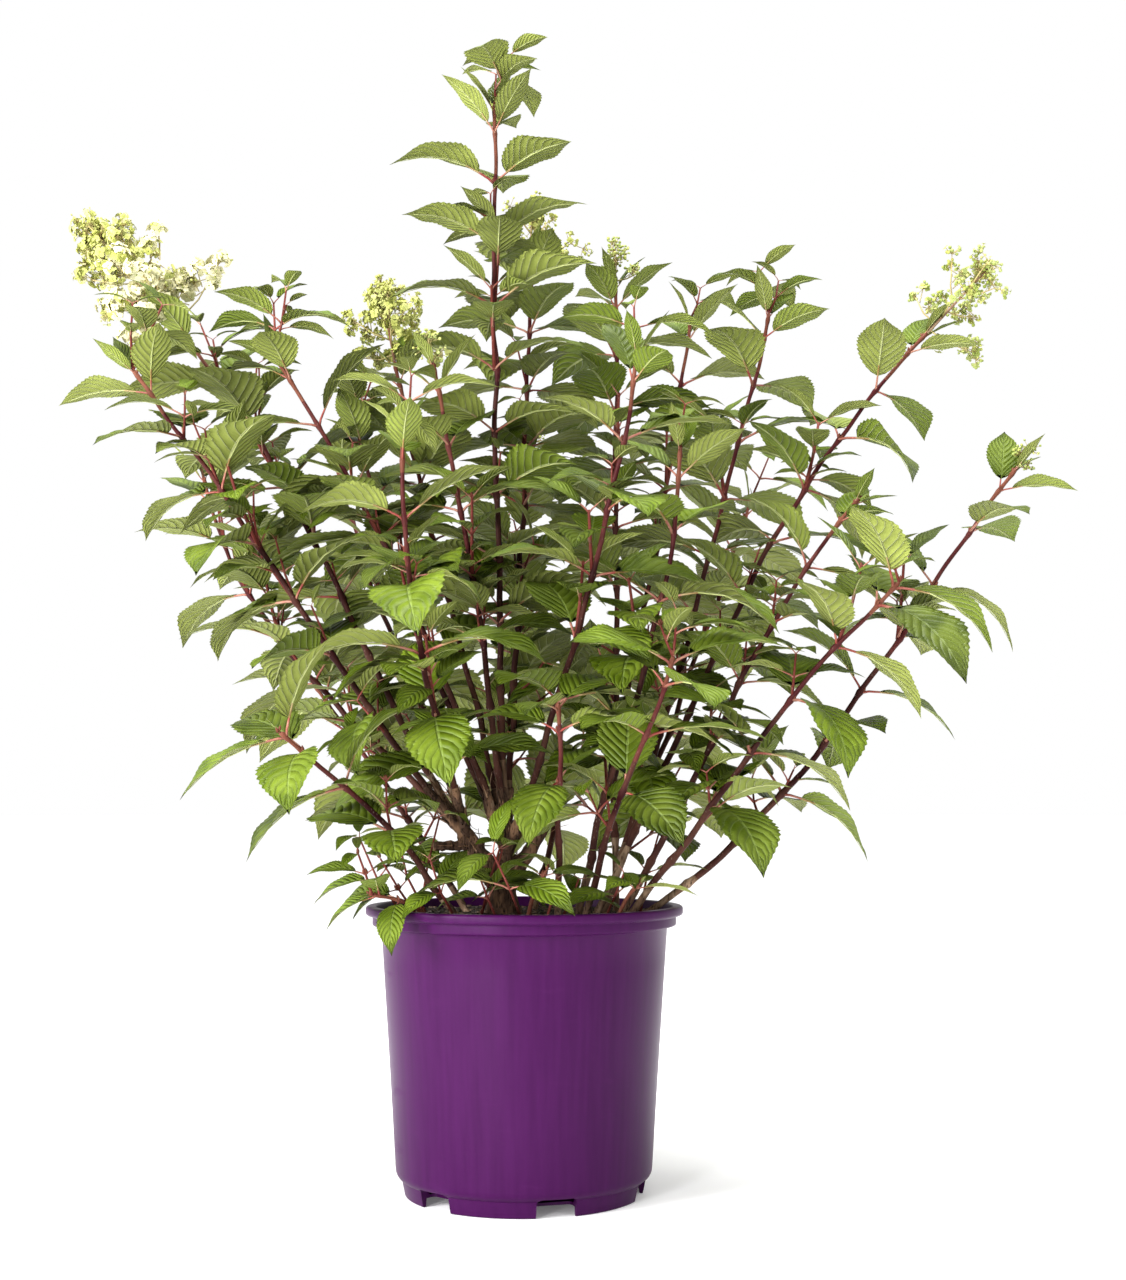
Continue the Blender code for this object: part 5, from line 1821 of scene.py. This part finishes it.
def build_head(blossom, stalks, cane, path):
    """A flower head: an axis, its sprays, and florets and buds on thin stalks."""
    head = HEADS[cane.head]
    bloom = BLOOMS[cane.head]
    rng = random.Random(cane.name + "_florets")
    tip, way = place_at(path, lengths_along(path)[-1])
    axis = [tip - way * AXIS_START] + [tip + way * head.length * share for share in AXIS_HEIGHTS]
    stalks.add_tube(axis, AXIS_RADII, 6, 1)
    for root, along, length, share in head_sprays(cane, path):
        end = root + along * length * SPRAY_END
        bow = root.lerp(end, 0.5) - way * length * SPRAY_BOW
        stalks.add_tube([root, bow, end], SPRAY_RADII, 4)
        for index in range(bloom.sprigs):
            step = (1 - SPRIG_START) * (index + SPRIG_SHIFT) / bloom.sprigs
            start = root.lerp(end, SPRIG_START + step)
            out = (any_way(rng) + along * 0.5 + way * 0.3).normalized()
            tuft = start + out * length * rng.uniform(*SPRIG_LENGTHS)
            stalks.add_tube([start, start.lerp(tuft, 0.5), tuft], SPRIG_RADII, 3)
            add_tuft(blossom, stalks, cane.head, tuft, out, share, rng)


def build_blossom(settings, paths):
    """Every flower head, each with its florets and its stalks apart."""
    looks = [
        soft_material("sepal_lime", settings.lime),
        soft_material("sepal_cream", settings.cream),
        soft_material("bud_green", settings.bud),
    ]
    stalk_looks = [
        soft_material("blossom_stalk", settings.stalk),
        soft_material("blossom_axis", settings.axis),
    ]
    panicle = Joined("blossom_panicle", looks)
    heads = Joined("blossom_heads", looks)
    stalks = Joined("blossom_stalks", stalk_looks)
    for cane in CANES:
        if cane.head:
            blossom = panicle if cane.head == "cone" else heads
            build_head(blossom, stalks, cane, paths[cane.name])
    panicle.build("root", "leaves")
    heads.build("root", "leaves")
    stalks.build("root", "leaves")


# Stage
FLOOR_GAP = 0.0002
LIGHTS_AIM = (0.0, 0.0, 0.5)

# Soft lights: place, width, height, and power as a share of the main light's
LIGHTS = {
    "key_light": ((-2.3, -1.6, 1.1), 1.1, 1.1, 1.0),
    "strip_light": ((-1.05, -2.2, 0.5), 0.4, 1.8, 0.42),
    "fill_light": ((2.1, -1.6, 0.8), 1.4, 1.4, 0.04),
    "top_light": ((0.3, -0.2, 2.8), 1.6, 1.6, 1.0),
}


def build_floor(stage):
    """A wide pale floor."""
    deselect()
    bpy.ops.mesh.primitive_circle_add(vertices=96, radius=stage.floor_radius, fill_type="NGON")
    floor = bpy.context.object
    floor.name = "studio_floor"
    floor.location.z = POT_LOW.z - FLOOR_GAP
    settle(floor, floor_material(stage.floor_colour))
    floor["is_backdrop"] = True


def add_softbox(name, place, width, height, power):
    """A soft light that faces the middle of the plant."""
    light = bpy.data.lights.new(name, "AREA")
    light.shape = "RECTANGLE"
    light.size = width
    light.size_y = height
    light.energy = power
    obj = bpy.data.objects.new(name, light)
    obj.location = place
    way = Vector(LIGHTS_AIM) - Vector(place)
    obj.rotation_euler = way.to_track_quat("-Z", "Y").to_euler()
    bpy.context.scene.collection.objects.link(obj)


def build_lights(stage):
    """Soft light from both sides and above, in a white room."""
    for name, (place, width, height, share) in LIGHTS.items():
        add_softbox(name, place, width, height, stage.key_power * share)
    world = bpy.data.worlds.new("white_room")
    world.use_nodes = True
    background = world.node_tree.nodes["Background"]
    background.inputs["Color"].default_value = (1.0, 1.0, 1.0, 1.0)
    background.inputs["Strength"].default_value = stage.room_light
    bpy.context.scene.world = world


def build_camera(stage):
    """The camera of the photograph: low, level with the leaves, looking slightly up."""
    data = bpy.data.cameras.new("camera")
    data.lens = stage.lens
    camera = bpy.data.objects.new("camera", data)
    camera.location = (stage.camera_side, -stage.camera_distance, stage.camera_height)
    camera.rotation_euler = (math.radians(90) + stage.camera_tilt, 0.0, 0.0)
    bpy.context.scene.collection.objects.link(camera)
    bpy.context.scene.camera = camera


# Settings
def size(name, description, default, **limits):
    return FloatProperty(name=name, description=description, default=default, unit="LENGTH", **limits)


def colour(name, description, default):
    return FloatVectorProperty(
        name=name, description=description, default=(*default, 1.0), size=4, subtype="COLOR",
        min=0.0, max=1.0,
    )


class HydrangeaPotSettings(bpy.types.PropertyGroup):
    """Sizes and colour of the pot."""

    rim_radius: size("Rim radius", "Outer radius of the lip", POT_HIGH.x)
    height: size("Height", "Height of the pot", POT_HIGH.z)
    lip_height: size("Lip height", "Height of the rolled lip", 0.008)
    wall: size("Wall", "Thickness of the wall", 0.0022)
    notch_width: size("Notch width", "Width of a drain notch", 0.034)
    notch_height: size("Notch height", "Height of a drain notch", 0.016)
    colour: colour("Plastic", "Colour of the plastic", (0.027, 0.0008, 0.033))


class HydrangeaSoilSettings(bpy.types.PropertyGroup):
    """Look of the soil."""

    crumbs: IntProperty(name="Crumbs", description="Bark crumbs on the soil", default=900, min=0)
    colour: colour("Soil", "Colour of the potting mix", (0.034, 0.022, 0.015))


class HydrangeaBarkSettings(bpy.types.PropertyGroup):
    """Look of the woody crown and of the canes."""

    strips: IntProperty(name="Strips", description="Strips of peeling bark", default=110, min=0)
    old: colour("Old bark", "Colour of the crown's bark", (0.060, 0.033, 0.021))
    peeled: colour("Peeled bark", "Colour where bark has peeled", (0.19, 0.105, 0.06))
    foot: colour("Cane foot", "Colour of a cane near the soil", (0.125, 0.074, 0.046))
    young: colour("Young cane", "Colour of the young wood", (0.060, 0.007, 0.010))


class HydrangeaLeafSettings(bpy.types.PropertyGroup):
    """Size and colours of the leaves."""

    thickness: size("Thickness", "Thickness of a leaf", 0.0005, precision=5)
    upper: colour("Upper side", "Colour of a full leaf's upper side", (0.058, 0.090, 0.0018))
    fresh: colour("Young leaf", "Colour of a young leaf", (0.090, 0.140, 0.003))
    under: colour("Underside", "Colour of a leaf's underside", (0.220, 0.254, 0.054))
    stalk: colour("Stalk", "Colour of a leaf's stalk", (0.24, 0.045, 0.038))


class HydrangeaBlossomSettings(bpy.types.PropertyGroup):
    """Colours of the flower heads."""

    lime: colour("Lime", "Colour of the young sepals", (0.36, 0.38, 0.085))
    cream: colour("Cream", "Colour of the open sepals", (0.60, 0.57, 0.35))
    bud: colour("Bud", "Colour of the closed buds", (0.22, 0.27, 0.05))
    stalk: colour("Stalk", "Colour of the flower stalks", (0.32, 0.25, 0.085))
    axis: colour("Axis", "Colour of the stem in a flower head", (0.15, 0.055, 0.030))


class HydrangeaStageSettings(bpy.types.PropertyGroup):
    """Floor, lights and camera."""

    floor_radius: size("Floor radius", "Radius of the round floor", 30.0)
    floor_colour: colour("Floor", "Colour of the floor", (0.96, 0.96, 0.96))
    key_power: FloatProperty(
        name="Key light", description="Power of the main light", default=152.0, unit="POWER"
    )
    room_light: FloatProperty(name="Room light", description="Strength of the white room", default=1.0)
    lens: FloatProperty(name="Lens", description="Focal length", default=50.0, unit="CAMERA")
    camera_distance: size("Camera distance", "How far in front of the pot it stands", 1.59)
    camera_side: size("Camera side", "How far to the right of the pot it stands", 0.034)
    camera_height: size("Camera height", "How high it stands", 0.3445)
    camera_tilt: FloatProperty(
        name="Camera tilt", description="How far up it looks", default=math.radians(5), subtype="ANGLE"
    )


def all_paths():
    """The curve of each cane and shoot, by name."""
    return {cane.name: cane_path(cane) for cane in CANES + SHOOTS}


# Operators
class HYDRANGEA_OT_pot(bpy.types.Operator):
    """Build the nursery pot"""

    bl_idname = "hydrangea.pot"
    bl_label = "Pot"

    def execute(self, context):
        build_pot(context.scene.hydrangea_pot)
        return report(self, "Pot built")


class HYDRANGEA_OT_soil(bpy.types.Operator):
    """Build the soil and the crumbs on it"""

    bl_idname = "hydrangea.soil"
    bl_label = "Soil"

    def execute(self, context):
        build_soil(context.scene.hydrangea_soil)
        return report(self, "Soil built")


class HYDRANGEA_OT_crown(bpy.types.Operator):
    """Build the woody crown and its peeling bark"""

    bl_idname = "hydrangea.crown"
    bl_label = "Woody crown"

    def execute(self, context):
        build_crown(context.scene.hydrangea_bark, all_paths())
        return report(self, "Crown built")


class HYDRANGEA_OT_growth(bpy.types.Operator):
    """Grow the canes, twigs and leaves"""

    bl_idname = "hydrangea.growth"
    bl_label = "Canes and leaves"

    def execute(self, context):
        paths = all_paths()
        growth = Growth(paths)
        growth.fill()
        build_canes(context.scene.hydrangea_bark, paths, growth)
        build_leaves(context.scene.hydrangea_leaves, growth)
        count = sum(len(leaves) for leaves in growth.kept.values())
        return report(self, f"{count} leaves grown")


class HYDRANGEA_OT_blossom(bpy.types.Operator):
    """Build the flower heads"""

    bl_idname = "hydrangea.blossom"
    bl_label = "Flower heads"

    def execute(self, context):
        build_blossom(context.scene.hydrangea_blossom, all_paths())
        return report(self, "Flower heads built")


class HYDRANGEA_OT_stage(bpy.types.Operator):
    """Build the floor, the lights and the camera"""

    bl_idname = "hydrangea.stage"
    bl_label = "Stage"

    def execute(self, context):
        stage = context.scene.hydrangea_stage
        build_camera(stage)
        build_floor(stage)
        build_lights(stage)
        context.scene.view_settings.view_transform = "Standard"
        return report(self, "Stage built")


OPERATORS = (
    HYDRANGEA_OT_stage,
    HYDRANGEA_OT_pot,
    HYDRANGEA_OT_soil,
    HYDRANGEA_OT_crown,
    HYDRANGEA_OT_growth,
    HYDRANGEA_OT_blossom,
)
SETTINGS = {
    "hydrangea_pot": HydrangeaPotSettings,
    "hydrangea_soil": HydrangeaSoilSettings,
    "hydrangea_bark": HydrangeaBarkSettings,
    "hydrangea_leaves": HydrangeaLeafSettings,
    "hydrangea_blossom": HydrangeaBlossomSettings,
    "hydrangea_stage": HydrangeaStageSettings,
}


class VIEW3D_PT_hydrangea(bpy.types.Panel):
    """Settings and buttons for each part of the plant"""

    bl_idname = "VIEW3D_PT_hydrangea"
    bl_label = "Potted hydrangea"
    bl_space_type = "VIEW_3D"
    bl_region_type = "UI"
    bl_category = "Hydrangea"

    def draw(self, context):
        for operator in OPERATORS:
            self.layout.operator(operator.bl_idname)
        for name, group in SETTINGS.items():
            box = self.layout.box()
            box.label(text=group.__doc__)
            for key in group.__annotations__:
                box.prop(getattr(context.scene, name), key)


def register():
    for group in SETTINGS.values():
        bpy.utils.register_class(group)
    for name, group in SETTINGS.items():
        setattr(bpy.types.Scene, name, PointerProperty(type=group))
    for operator in OPERATORS:
        bpy.utils.register_class(operator)
    bpy.utils.register_class(VIEW3D_PT_hydrangea)


def unregister():
    bpy.utils.unregister_class(VIEW3D_PT_hydrangea)
    for operator in reversed(OPERATORS):
        bpy.utils.unregister_class(operator)
    for name, group in SETTINGS.items():
        delattr(bpy.types.Scene, name)
        bpy.utils.unregister_class(group)


def main():
    register()
    bpy.ops.hydrangea.stage()
    bpy.ops.hydrangea.pot()
    bpy.ops.hydrangea.soil()
    bpy.ops.hydrangea.crown()
    bpy.ops.hydrangea.growth()
    bpy.ops.hydrangea.blossom()
    boxes = {"cad": CAD_BOX, "visual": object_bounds()}
    {key: [list(corner) for corner in box] for key, box in boxes.items()}


if __name__ == "__main__":
    main()
